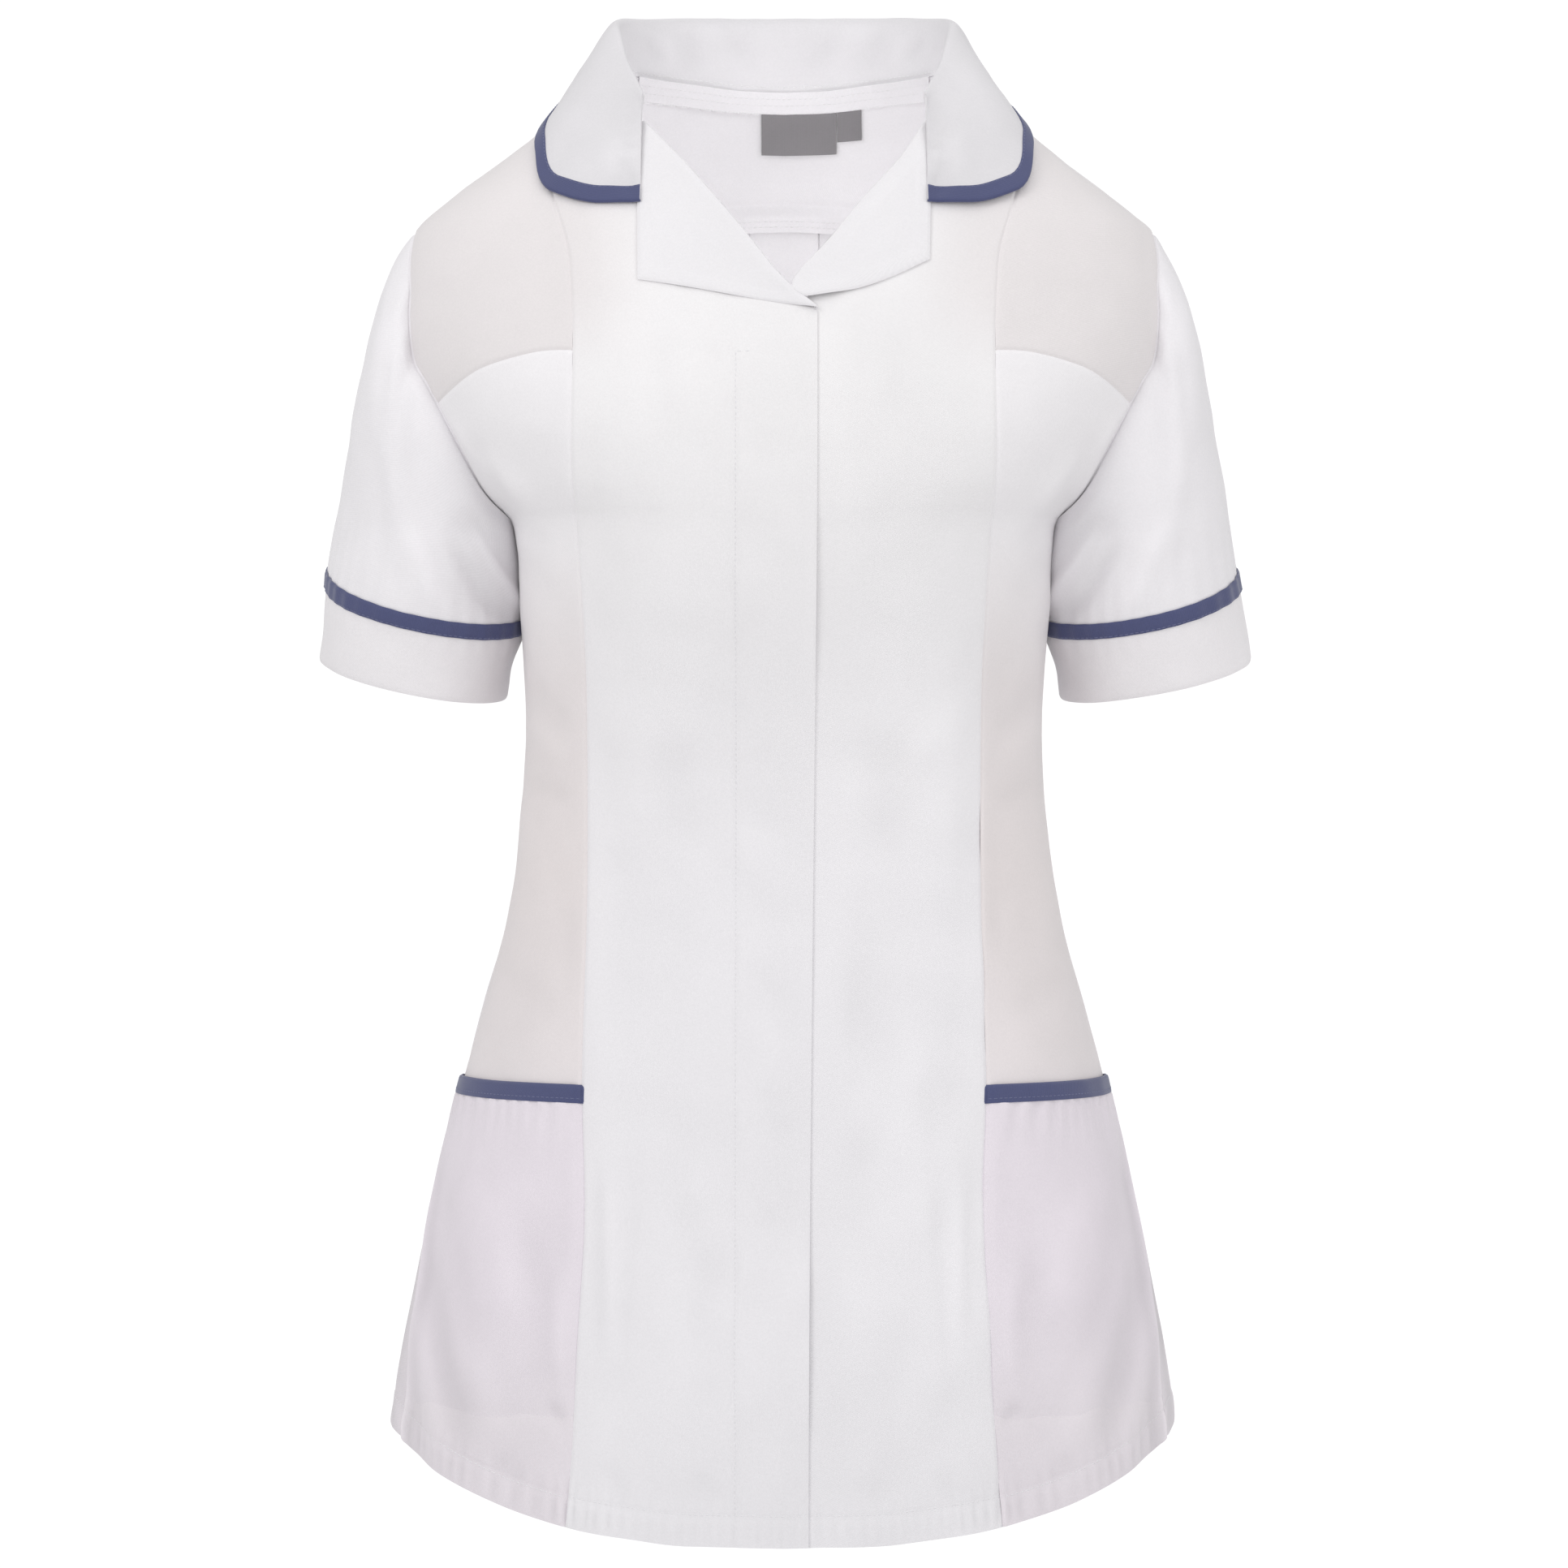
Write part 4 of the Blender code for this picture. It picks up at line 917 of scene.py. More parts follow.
def shell(name, cloth, material, wall=CLOTH, offset=-1.0, solid=True):
    """One cloth piece: its outer points and its thickness. It also works out its cut's width and length,
    which nothing uses.
    """
    grid = cloth.surface()
    # Painted fold shading, held within its limit, plus the directly painted light and shade, carried as the
    # third cloth coordinate
    tone = FOLD_SHADING_LIMIT * np.tanh(cloth.tone / FOLD_SHADING_LIMIT) + cloth.accent / FOLD_SHADING_RATE
    weave = np.stack([cloth.left, cloth.top, tone], -1)
    mesh = cloth_mesh(name, grid, weave, cloth.shoulder_tint_and_shade, cloth.closed)
    made = piece(name, mesh, material, solid)
    thicken(made, wall, offset)
    FINDERS[name] = finder(mesh)
    area = sum(face.area for face in mesh.polygons)
    width = round(max(cloth.width, SMALLEST_CUT), 3)
    length = round(max(cloth.length, area / width, SMALLEST_CUT), 3)
    area = min(area, width * length)
    if area < 0.3 * width * length:
        width = round(area / length / 0.5, 3)


def finder(mesh):
    """A search for the nearest place on a mesh."""
    mesh.calc_loop_triangles()
    points = [tuple(vertex.co) for vertex in mesh.vertices]
    return BVHTree.FromPolygons(points, [tuple(t.vertices) for t in mesh.loop_triangles])


def stitch_form():
    """One stitch along X: a short thread that dips at both ends."""
    rings = ((-0.5, 0.25, -0.8), (-0.36, 0.8, -0.1), (0.0, 1.0, 0.2), (0.36, 0.8, -0.1), (0.5, 0.25, -0.8))
    sides = 6
    points = []
    for along, wide, rise in rings:
        for k in range(sides):
            turn = 2 * math.pi * k / sides
            points.append((along, 0.5 * wide * math.cos(turn), 0.6 * wide * math.sin(turn) + rise))
    faces = []
    for ring in range(len(rings) - 1):
        for k in range(sides):
            a = ring * sides + k
            b = ring * sides + (k + 1) % sides
            faces.append((a, b, b + sides, a + sides))
    faces.append(tuple(reversed(range(sides))))
    faces.append(tuple(range((len(rings) - 1) * sides, len(rings) * sides)))
    return np.array(points), faces


STITCH_POINTS, STITCH_FACES = stitch_form()


def even_steps(path, pitch):
    """Places along a line of points, an even step apart."""
    path = np.asarray(path, float)
    lengths = np.concatenate([[0.0], np.cumsum(np.linalg.norm(np.diff(path, axis=0), axis=1))])
    count = max(int(lengths[-1] / pitch), 1)
    spots = (np.arange(count) + 0.5) * lengths[-1] / count
    return np.stack([np.interp(spots, lengths, path[:, k]) for k in range(3)], -1)


def stitch_rows(name, rows, on, material, slant=0.0, size=1.0, inside=False, lift=0.0):
    """Rows of stitches lying on the cloth of a named piece, as one mesh."""
    points = []
    faces = []
    along, wide, rise = STITCH_POINTS.T
    for path in rows:
        spots = even_steps(path, STITCH_PITCH * size)
        ahead = unit(np.gradient(spots, axis=0)) if len(spots) > 1 else np.array([[1.0, 0, 0]])
        for spot, run in zip(spots, ahead):
            place, normal, _, _ = FINDERS[on].find_nearest(Vector(spot))
            normal = -np.array(normal) if inside else np.array(normal)
            run = run - normal * (run @ normal)
            run = run / np.linalg.norm(run)
            side = np.cross(normal, run)
            run, side = (
                run * math.cos(slant) + side * math.sin(slant),
                side * math.cos(slant) - run * math.sin(slant),
            )
            base = len(points)
            form = (
                np.array(place)
                + normal * lift
                + np.outer(along * STITCH_LENGTH * size, run)
                + np.outer(wide * STITCH_WIDTH, side)
                + np.outer(rise * STITCH_RISE, normal)
            )
            points.extend(form.tolist())
            faces.extend(tuple(k + base for k in face) for face in STITCH_FACES)
    mesh = bpy.data.meshes.new(name)
    mesh.from_pydata(points, [], faces)
    mesh.polygons.foreach_set("use_smooth", np.ones(len(faces), bool))
    piece(name, mesh, material, False)


class Nodes:
    """Short calls for building a shader."""

    def __init__(self, material):
        material.use_nodes = True
        self.tree = material.node_tree
        self.shader = self.tree.nodes["Principled BSDF"]

    def add(self, kind, **values):
        node = self.tree.nodes.new(kind)
        for key, value in values.items():
            if hasattr(node, key):
                setattr(node, key, value)
            else:
                node.inputs[key.replace("_", " ")].default_value = value
        return node

    def link(self, source, target):
        self.tree.links.new(source, target)

    def maths(self, operation, first, second):
        node = self.add("ShaderNodeMath", operation=operation)
        for slot, value in zip(node.inputs, (first, second)):
            if isinstance(value, (int, float)):
                slot.default_value = value
            else:
                self.link(value, slot)
        return node.outputs[0]


def cloth_material(name, tones, roughness=0.58, sheen=0.25, mottle=0.045, weave=1.0, steep=1.0):
    """Twill cloth: fine diagonal weave, soft mottling and a faint satin sheen.

    The tones are one colour, or heights with colours from the hem up, which may carry painted light and
    shade. Folds are painted darker in their troughs and lighter on their ridges, and the shoulder's darker
    white is mixed in as painted shade.
    """
    if isinstance(tones[0], float):
        tones = ((0.0, tones),)
    material = bpy.data.materials.new(name)
    nodes = Nodes(material)
    shader = nodes.shader
    shader.inputs["Roughness"].default_value = roughness
    shader.inputs["Specular IOR Level"].default_value = 0.35
    shader.inputs["Sheen Weight"].default_value = sheen
    shader.inputs["Sheen Roughness"].default_value = 0.45
    material.diffuse_color = (*tones[0][1], 1.0)
    coords = nodes.add("ShaderNodeTexCoord")
    spot = nodes.add("ShaderNodeSeparateXYZ")
    nodes.link(coords.outputs["Object"], spot.inputs[0])
    share = nodes.maths("MULTIPLY", nodes.maths("ADD", spot.outputs["Z"], TONE_DEPTH), 1 / TONE_DEPTH)
    ramp = nodes.add("ShaderNodeValToRGB")
    stops = ramp.color_ramp.elements
    while len(stops) < len(tones):
        stops.new(0.5)
    for k, (height, colour) in enumerate(tones):
        stops[k].position = (height + TONE_DEPTH) / TONE_DEPTH
        stops[k].color = (*colour, 1.0)
    if len(tones) == 1:
        stops[1].color = (*tones[0][1], 1.0)
    nodes.link(share, ramp.inputs["Fac"])
    place = nodes.add("ShaderNodeAttribute", attribute_name="cloth")
    apart = nodes.add("ShaderNodeSeparateXYZ")
    nodes.link(place.outputs["Vector"], apart.inputs[0])
    rising = nodes.maths("MULTIPLY", apart.outputs["Y"], steep)
    diagonal = nodes.maths("ADD", apart.outputs["X"], rising)
    wave = nodes.maths("SINE", nodes.maths("MULTIPLY", diagonal, 2 * math.pi / TWILL_PITCH), 0.0)
    large = nodes.add("ShaderNodeTexNoise", Scale=14.0, Detail=4.0, Roughness=0.6)
    nodes.link(coords.outputs["Object"], large.inputs["Vector"])
    slub = nodes.add("ShaderNodeTexNoise", Scale=900.0, Detail=2.0, Roughness=0.6)
    nodes.link(coords.outputs["Object"], slub.inputs["Vector"])
    shade = nodes.maths("MULTIPLY", slub.outputs["Fac"], 0.10 * weave)
    shade = nodes.maths("ADD", shade, 1.0 - 0.05 * weave - 0.8 * mottle)
    shade = nodes.maths("ADD", shade, nodes.maths("MULTIPLY", large.outputs["Fac"], 1.6 * mottle))
    shade = nodes.maths("ADD", shade, nodes.maths("MULTIPLY", wave, 0.014 * weave))
    # Painted fold shading: darker in troughs, lighter on ridges
    shade = nodes.maths("ADD", shade, nodes.maths("MULTIPLY", apart.outputs["Z"], FOLD_SHADING_RATE))
    grey = nodes.add("ShaderNodeCombineColor")
    for channel in grey.inputs[:3]:
        nodes.link(shade, channel)
    tint = nodes.add("ShaderNodeMix", data_type="RGBA", blend_type="MULTIPLY")
    tint.inputs[0].default_value = 1.0
    # Mixed toward the shoulder's darker white where the mesh asks: painted shade with some tint
    shoulder = nodes.add("ShaderNodeMix", data_type="RGBA", blend_type="MIX")
    shoulder_layer = nodes.add("ShaderNodeAttribute", attribute_name="shoulder_tint_and_shade")
    nodes.link(shoulder_layer.outputs["Fac"], shoulder.inputs[0])
    nodes.link(ramp.outputs["Color"], shoulder.inputs[6])
    shoulder.inputs[7].default_value = (*SHOULDER_SHADED_WHITE, 1.0)
    nodes.link(shoulder.outputs[2], tint.inputs[6])
    nodes.link(grey.outputs["Color"], tint.inputs[7])
    nodes.link(tint.outputs[2], shader.inputs["Base Color"])
    relief = nodes.maths("ADD", nodes.maths("MULTIPLY", wave, 0.35), slub.outputs["Fac"])
    bump = nodes.add("ShaderNodeBump", Strength=0.28 * weave, Distance=0.00012)
    nodes.link(relief, bump.inputs["Height"])
    nodes.link(bump.outputs["Normal"], shader.inputs["Normal"])
    return material


def thread_material(name, colour):
    material = bpy.data.materials.new(name)
    nodes = Nodes(material)
    nodes.shader.inputs["Roughness"].default_value = 0.45
    nodes.shader.inputs["Sheen Weight"].default_value = 0.2
    coords = nodes.add("ShaderNodeTexCoord")
    ply = nodes.add("ShaderNodeTexNoise", Scale=2500.0, Detail=1.0)
    nodes.link(coords.outputs["Object"], ply.inputs["Vector"])
    ramp = nodes.add("ShaderNodeValToRGB")
    ramp.color_ramp.elements[0].color = (*(channel * 0.9 for channel in colour), 1.0)
    ramp.color_ramp.elements[1].color = (*colour, 1.0)
    nodes.link(ply.outputs["Fac"], ramp.inputs["Fac"])
    nodes.link(ramp.outputs["Color"], nodes.shader.inputs["Base Color"])
    return material


FRONT_CLOTH = cloth_material("front twill", FRONT_LIGHT_AND_SHADE)
LAPEL_CLOTH = cloth_material("lapel twill", LAPEL_WHITE)
WHITE_CLOTH = cloth_material("yoke twill", WHITE)
BACK_CLOTH = cloth_material("back twill", BACK_TINT_AND_SHADE, mottle=0.06)
SLEEVE_CLOTH = cloth_material("sleeve twill", SLEEVE_LIT_WHITE)
CUFF_CLOTH = cloth_material("cuff twill", CUFF_LIT_WHITE, mottle=0.06)
SIDE_CLOTH = cloth_material("side twill", SIDE_TINT_AND_SHADE, mottle=0.06)
SHOULDER_CLOTH = cloth_material("shoulder twill", SHOULDER_SHADED_WHITE, mottle=0.05)
POCKET_CLOTH = cloth_material("pocket twill", POCKET_TINT_AND_SHADE, mottle=0.09)
COLLAR_CLOTH = cloth_material("collar twill", COLLAR_SHADED_WHITE, mottle=0.08)
TRIM_CLOTH = cloth_material("bias trim", BLUE, 0.62, 0.35, 0.12, 1.6, 0.1)
LABEL_CLOTH = cloth_material("woven ribbon", GREY, 0.5, 0.2, 0.08, 1.2, 0.0)
THREAD = thread_material("white thread", THREAD_WHITE)
TRIM_THREAD = thread_material("trim thread", BLUE_THREAD)


def placket_x(height):
    """How far past the middle the over front reaches."""
    top = ROLL_RIGHT[-1][0]
    share = (height - top) / (HEM[0][1] - top)
    return PLACKET_TOP_X + (PLACKET_HEM_X - PLACKET_TOP_X) * ease(share)


def princess_hem(side):
    """The height at which a princess seam reaches the hem."""
    return meet_hem(lambda h: angle_at(side * read(PRINCESS, h), h))


def front_patch(side, roll, edge_x):
    """A front between its princess seam and its neck, roll line and front edge."""
    bust = BUST_SEAM[0][0]
    outer = Edge(
        princess_line(side, PRINCESS_TOP, bust),
        princess_line(side, bust, UNDERARM),
        princess_line(side, UNDERARM, princess_hem(side)),
    ).paced(PACE_SHOULDER, PACE_ARMHOLE, PACE_BODY)
    end = meet_hem(lambda h: angle_at(edge_x(h), h))
    upper = np.linspace(roll[-1][0], UNDERARM, 25)
    lower = np.linspace(UNDERARM, end, 61)
    inner = Edge(
        neck_line(side, 90.0, NECK[0][0]),
        roll_line(roll),
        np.stack([angle_at(edge_x(upper), upper), upper], -1),
        np.stack([angle_at(edge_x(lower), lower), lower], -1),
    ).paced(PACE_NECK, PACE_SHOULDER - PACE_NECK, PACE_ARMHOLE, PACE_BODY)
    shoulder = shoulder_line(side, PRINCESS_TOP, SHOULDER_TOP)
    low = hem_line(outer.places[-1][0], inner.places[-1][0])
    if side < 0:
        return Patch(outer, inner, Edge(shoulder), Edge(low))
    return Patch(inner, outer, Edge(shoulder[::-1]), Edge(low[::-1]))


def shoulder_share(points):
    """How far a front takes on the shoulder panels' darker, warmer white: painted shade with some tint."""
    across = ease((abs(points[..., 0]) - 0.055) / 0.060)
    return 0.9 * across * ease((points[..., 2] + 0.150) / 0.055)


def flat_places(points):
    """Across and height of each point, for tables of creases."""
    return np.stack([points[..., 0], points[..., 2]], -1)


def finish_front(name, cloth, outer, wall):
    """What both fronts share: the shoulder's painted shade and tint, the hem and the seam allowances."""
    cloth.shoulder_tint_and_shade = shoulder_share(cloth.points)
    cloth.hem(0.25 + 0.55 * ease((abs(cloth.points[..., 0]) - 0.070) / 0.03))
    cloth.allowance(outer).allowance("top")
    shell(name, cloth, FRONT_CLOTH, wall)
    return cloth


def front_right():
    """The over front: folded placket edge, one row of stitches that hold the closure behind."""
    across = shares(0.125, 0.0024, SEAM_STEPS, (0.0, 0.0004, 0.001, 0.002))
    down = shares(0.745, 0.0029, SEAM_STEPS, HEM_STEPS)
    cloth = Cloth(front_patch(-1, ROLL_RIGHT, placket_x).points(across, down))
    cloth.seams(left=True, top=True)
    x, z = cloth.points[..., 0], cloth.points[..., 2]
    below = ease((PLACKET_BEGINS - z) / 0.012)
    strip = ease((x - FLY_X) / 0.0022) * below
    cloth.out += PLACKET_THICK * strip
    cloth.out -= PLACKET_DRAWN_IN * bell(x - FLY_X, 0.0016) * below
    cloth.out -= EDGE_ROLL * bell(cloth.right, 0.0007)
    cloth.uneven(0.024, 0.0011, 3, 0.7, strip * ease((placket_x(z) - x) / 0.008))
    cloth.uneven(*FRONT_WAVES[-1], ease(cloth.left / 0.02))
    cloth.uneven(0.018, 0.00045, 8, 0.8, ease(cloth.left / 0.01))
    cloth.creases(flat_places(cloth.points), FRONT_CREASES, ease(cloth.left / 0.003))
    # Where the fronts overlap, the over one dips no deeper than it has room for
    above = cloth.out + OVERLAP_ROOM
    held = 0.5 * (above + np.sqrt(above ** 2 + 0.0004 ** 2)) - OVERLAP_ROOM
    cloth.out += (held - cloth.out) * ease((x - UNDERLAP_X + 0.006) / 0.008)
    # Painted shade line along the fly stitches
    cloth.tone -= 0.0005 * bell(x - FLY_X, 0.0012) * below
    return finish_front("front_right", cloth, "left", FOLDED_CLOTH)


def front_left():
    """The under front, sunk behind the placket of the over front."""
    across = shares(0.145, 0.0024, (0.0, 0.0005, 0.0012), SEAM_STEPS)
    down = shares(0.745, 0.0029, SEAM_STEPS, HEM_STEPS)
    patch = front_patch(1, ROLL_LEFT, lambda height: UNDERLAP_X + 0 * height)
    cloth = Cloth(patch.points(across, down))
    cloth.seams(right=True, top=True)
    x, z = cloth.points[..., 0], cloth.points[..., 2]
    cloth.out -= UNDER_FRONT * ease((placket_x(z) + 0.020 - x) / 0.016)
    free = ease((x - placket_x(z) - 0.004) / 0.02)
    cloth.uneven(*FRONT_WAVES[1], free * ease(cloth.right / 0.02))
    cloth.uneven(0.024, 0.0010, 12, 0.7, free * ease((-0.30 - z) / 0.08))
    cloth.uneven(0.018, 0.00045, 18, 0.8, free * ease(cloth.right / 0.01))
    rows = [row for row in FRONT_CREASES if row[0] > 0.012]
    cloth.creases(flat_places(cloth.points), rows, ease(cloth.right / 0.003))
    return finish_front("front_left", cloth, "right", CLOTH)


def placed(points, side):
    """Rows of points of the right side, or the same rows on the left side."""
    return points if side < 0 else points[:, ::-1] * MIRROR


def side_places(cloth, side):
    """Distance from the middle and height of each point, for tables of creases."""
    return flat_places(cloth.points) * np.array([side, 1.0])


def side_waves(cloth, side, share):
    """The unevenness that a side front, its pocket and its trim share, so that they stay stacked."""
    cloth.uneven(0.055, 0.0020, 31 + side, 0.7, share)


def shoulder_panels():
    """The front shoulder panels, above the curved bust seam."""
    left = Edge(seam_line(ARMHOLE_FRONT[:BUST_END], -1))
    right = Edge(princess_line(-1, PRINCESS_TOP, BUST_SEAM[0][0]))
    top = Edge(shoulder_line(-1, SHOULDER_TIP, PRINCESS_TOP))
    bottom = Edge(seam_line(BUST_SEAM, -1)[::-1])
    across = shares(0.085, 0.0026, SEAM_STEPS, SEAM_STEPS)
    down = shares(0.125, 0.0028, SEAM_STEPS, SEAM_STEPS)
    points = Patch(left, right, top, bottom, 1.0, 1.0).points(across, down)
    for side, name in SIDES:
        cloth = Cloth(placed(points, side))
        cloth.seams(True, True, True, True)
        edge = ease(np.minimum(cloth.sides(), cloth.bottom) / 0.014)
        cloth.uneven(0.060, 0.0016, 21 + side, 0.8, edge)
        cloth.uneven(0.017, 0.0004, 25 + side, share=edge)
        cloth.allowance("bottom").allowance("top")
        shell("shoulder_" + name, cloth, SHOULDER_CLOTH)


def side_ridge(cloth, side):
    """The side seam of the skirt: raised, with a hollow beside it, a painted highlight along its edge and
    painted shade beside it.
    """
    away = cloth.left if side < 0 else cloth.right
    below = ease((RIDGE_TOP - cloth.points[..., 2]) / 0.06)
    cloth.out += 0.0008 * bell(away - 0.0050, 0.0036) * below
    low = ease((SEAM_SHOWS - cloth.points[..., 2]) / 0.03)
    cloth.out -= 0.0018 * bell(away - 0.024, 0.015) * low
    # Painted highlight along the seam's edge, painted shade beside it
    cloth.accent += (0.16 * bell(away - 0.0040, 0.0030) - 0.08 * bell(away - 0.0150, 0.0070)) * low


def side_panels():
    """The side fronts, from the armhole and the bust seam down to the hem."""
    side_hem = meet_hem(lambda h: -side_angle(h))
    left = Edge(seam_line(ARMHOLE_FRONT[BUST_END - 1:], -1), side_line(-1, UNDERARM, side_hem))
    left.paced(PACE_ARMHOLE, PACE_BODY)
    bust = BUST_SEAM[0][0]
    right = Edge(princess_line(-1, bust, UNDERARM), princess_line(-1, UNDERARM, princess_hem(-1)))
    right.paced(PACE_ARMHOLE, PACE_BODY)
    top = Edge(seam_line(BUST_SEAM, -1)[::-1])
    bottom = Edge(hem_line(left.places[-1][0], right.places[-1][0]))
    across = shares(0.085, 0.0026, SEAM_STEPS, SEAM_STEPS)
    down = shares(0.575, 0.0029, SEAM_STEPS, HEM_STEPS)
    points = Patch(left, right, top, bottom, 6.0, 2.0).points(across, down)
    for side, name in SIDES:
        cloth = Cloth(placed(points, side))
        cloth.seams(True, True, True)
        edge = ease(np.minimum(cloth.sides(), cloth.top) / 0.014)
        place = side_places(cloth, side)
        seam_fade = ease(cloth.sides() / 0.010)
        cloth.creases(place, SIDE_CREASES, seam_fade)
        cloth.creases(place, POCKET_CREASES, seam_fade)
        side_waves(cloth, side, edge)
        cloth.uneven(0.017, 0.00040, 35 + side, share=edge)
        heights = cloth.points[..., 2]
        pressed = ease((POCKET_TOP - heights) / 0.004) * ease((heights - POCKET_BOTTOM) / 0.015)
        cloth.out -= POCKET_PRESS * pressed
        side_ridge(cloth, side)
        cloth.hem(0.9)
        outer = 0 if side < 0 else -1
        below = ease((UNDERARM - 0.004 - cloth.surface()[:, outer, 2]) / 0.004)
        cloth.allowance("left" if side < 0 else "right", np.maximum(below, 0.03))
        shell("side_" + name, cloth, SIDE_CLOTH)


def pocket_patch(top_height, bottom_height):
    """Between the side seam and the princess seam of the right side."""
    left = Edge(side_line(-1, top_height, bottom_height))
    right = Edge(princess_line(-1, top_height, bottom_height))
    ends = []
    for height in (top_height, bottom_height):
        turn = np.linspace(-float(side_angle(height)), float(angle_at(-read(PRINCESS, height), height)), 25)
        ends.append(Edge(np.stack([turn, np.full(25, height)], -1)))
    return Patch(left, right, *ends)


def pocket_lift(cloth):
    """How far a pocket stands off its panel: little at the seams and more between them."""
    return POCKET_EDGE_LIFT + (ON_PANEL - POCKET_EDGE_LIFT) * ease(cloth.sides() / 0.006)


def pockets():
    """Pocket bags sewn into the seams, gathered a little under their bound mouths."""
    across = shares(0.090, 0.0020, SEAM_STEPS, SEAM_STEPS)
    down = shares(0.175, 0.0024, (0.0, 0.0008), SEAM_STEPS)
    points = pocket_patch(POCKET_TOP, POCKET_BOTTOM).points(across, down)
    rim = 0.0008
    ends = (0.0, 0.0004, 0.0010)
    across = shares(0.088, 0.0020, SEAM_STEPS, SEAM_STEPS)
    down = shares(TRIM_WIDTH + rim, 0.0012, ends, ends)
    band = pocket_patch(POCKET_TOP + rim, POCKET_TOP - TRIM_WIDTH).points(across, down)
    for side, name in SIDES:
        cloth = Cloth(placed(points, side))
        sides = cloth.sides()
        cloth.out += pocket_lift(cloth) * (0.10 + 0.90 * ease(cloth.bottom / 0.035))
        cloth.out -= 0.0006 * (1 - ease(cloth.bottom / 0.012))
        cloth.seams(True, True)
        edge = ease(sides / 0.010) * ease(cloth.bottom / 0.02) * ease((cloth.top - TRIM_WIDTH) / 0.002)
        cloth.creases(side_places(cloth, side), POCKET_CREASES, ease(sides / 0.010))
        side_waves(cloth, side, ease(sides / 0.014))
        gathers = ripple(cloth.left, 0.0105, 1.7, 83.0, side)
        cloth.out += 0.0008 * gathers * edge * bell(cloth.top - TRIM_WIDTH, 0.016)
        cloth.uneven(0.035, 0.0014, 41 + side, 0.6, edge)
        cloth.uneven(0.016, 0.0006, 45 + side, 0.6, edge)
        side_ridge(cloth, side)
        cloth.allowance("left").allowance("right")
        shell("pocket_" + name, cloth, POCKET_CLOTH)
        trim = Cloth(placed(band, side))
        trim.out += TRIM_ON_POCKET + pocket_lift(trim)
        side_waves(trim, side, ease(trim.sides() / 0.014))
        trim.out -= 0.0002 * bell(trim.bottom, 0.0006) + 0.0011 * bell(trim.top, 0.0007)
        trim.uneven(0.012, 0.0003, 48 + side)
        trim.allowance("left").allowance("right")
        shell("pocket_trim_" + name, trim, TRIM_CLOTH, TRIM_WALL)
        row = trim.surface()[-4, 3:-3]
        stitch_rows("pocket_stitches_" + name, [row], "pocket_trim_" + name, TRIM_THREAD)


def yoke_end():
    """The angle at which the seam below the back yoke meets the armhole."""
    return float(angle_at(BACK_YOKE_ACROSS, BACK_YOKE_END, True))


def yoke_seam_height(across):
    """The seam below the back yoke, level behind and lower at the armholes."""
    reach = abs(body(yoke_end(), BACK_YOKE_END)[0])
    share = np.minimum(abs(across) / reach, 1.0)
    return BACK_YOKE_MIDDLE + (BACK_YOKE_END - BACK_YOKE_MIDDLE) * share ** 2


def yoke_seam():
    """Angles and heights of the seam below the back yoke, from armhole to armhole."""
    turn = np.linspace(yoke_end(), 360 - yoke_end(), 61)
    height = np.full(61, BACK_YOKE_MIDDLE)
    for _ in range(8):
        height = yoke_seam_height(body(turn, height)[..., 0])
    return np.stack([turn, height], -1)


def other_side(line):
    """The same line on the wearer's other side, its angles counted on past the middle."""
    return np.stack([360 - line[:, 0], line[:, 1]], -1)


def yoke():
    """The yoke across the shoulders and the upper back."""
    parts = [
        shoulder_line(1, SHOULDER_TOP, PRINCESS_TOP),
        shoulder_line(1, PRINCESS_TOP, SHOULDER_TIP),
        seam_line(ARMHOLE_BACK[:YOKE_END], 1, True),
    ]
    left = Edge(*parts).paced(*PACE_YOKE)
    right = Edge(*[other_side(part) for part in parts]).paced(*PACE_YOKE)
    across = shares(0.38, 0.0030, SEAM_STEPS, SEAM_STEPS)
    down = shares(0.13, 0.0030, SEAM_STEPS, SEAM_STEPS)
    patch = Patch(left, right, Edge(neck_line(1, 90.0, 270.0)), Edge(yoke_seam()), 1.0, 1.0, 3.0)
    cloth = Cloth(patch.points(across, down))
    cloth.seams(True, True, False, True)
    edge = ease(np.minimum(cloth.sides(), cloth.top) / 0.02)
    edge = edge * ease((cloth.bottom - 0.007) / 0.03)
    cloth.out += 0.00035 * (1 - ease((cloth.bottom - 0.0085) / 0.0015))
    cloth.uneven(0.080, 0.0016, 51, share=edge)
    cloth.uneven(0.020, 0.0004, 52, share=edge)
    shell("yoke", cloth, WHITE_CLOTH)
    return cloth


def pleat_path():
    """The inverted box pleat: distance from the middle, layers inward, for the right half."""
    path = [(-PLEAT_HALF - 0.0006, 0.0)]
    for across in np.linspace(-0.0165, -0.0030, 6):
        path.append((across, 0.0))
    for turn in np.linspace(0, math.pi, 7):
        path.append((-0.0016 + 0.0008 * math.sin(turn), 0.5 - 0.5 * math.cos(turn)))
    for across in np.linspace(-0.0040, -0.0165, 5):
        path.append((across, 1.0))
    for turn in np.linspace(0, math.pi, 7):
        path.append((-0.0182 - 0.0008 * math.sin(turn), 1.5 - 0.5 * math.cos(turn)))
    for across in np.linspace(-0.0160, 0.0, 6):
        path.append((across, 2.0))
    return path + [(-across, layers) for across, layers in reversed(path[:-1])]


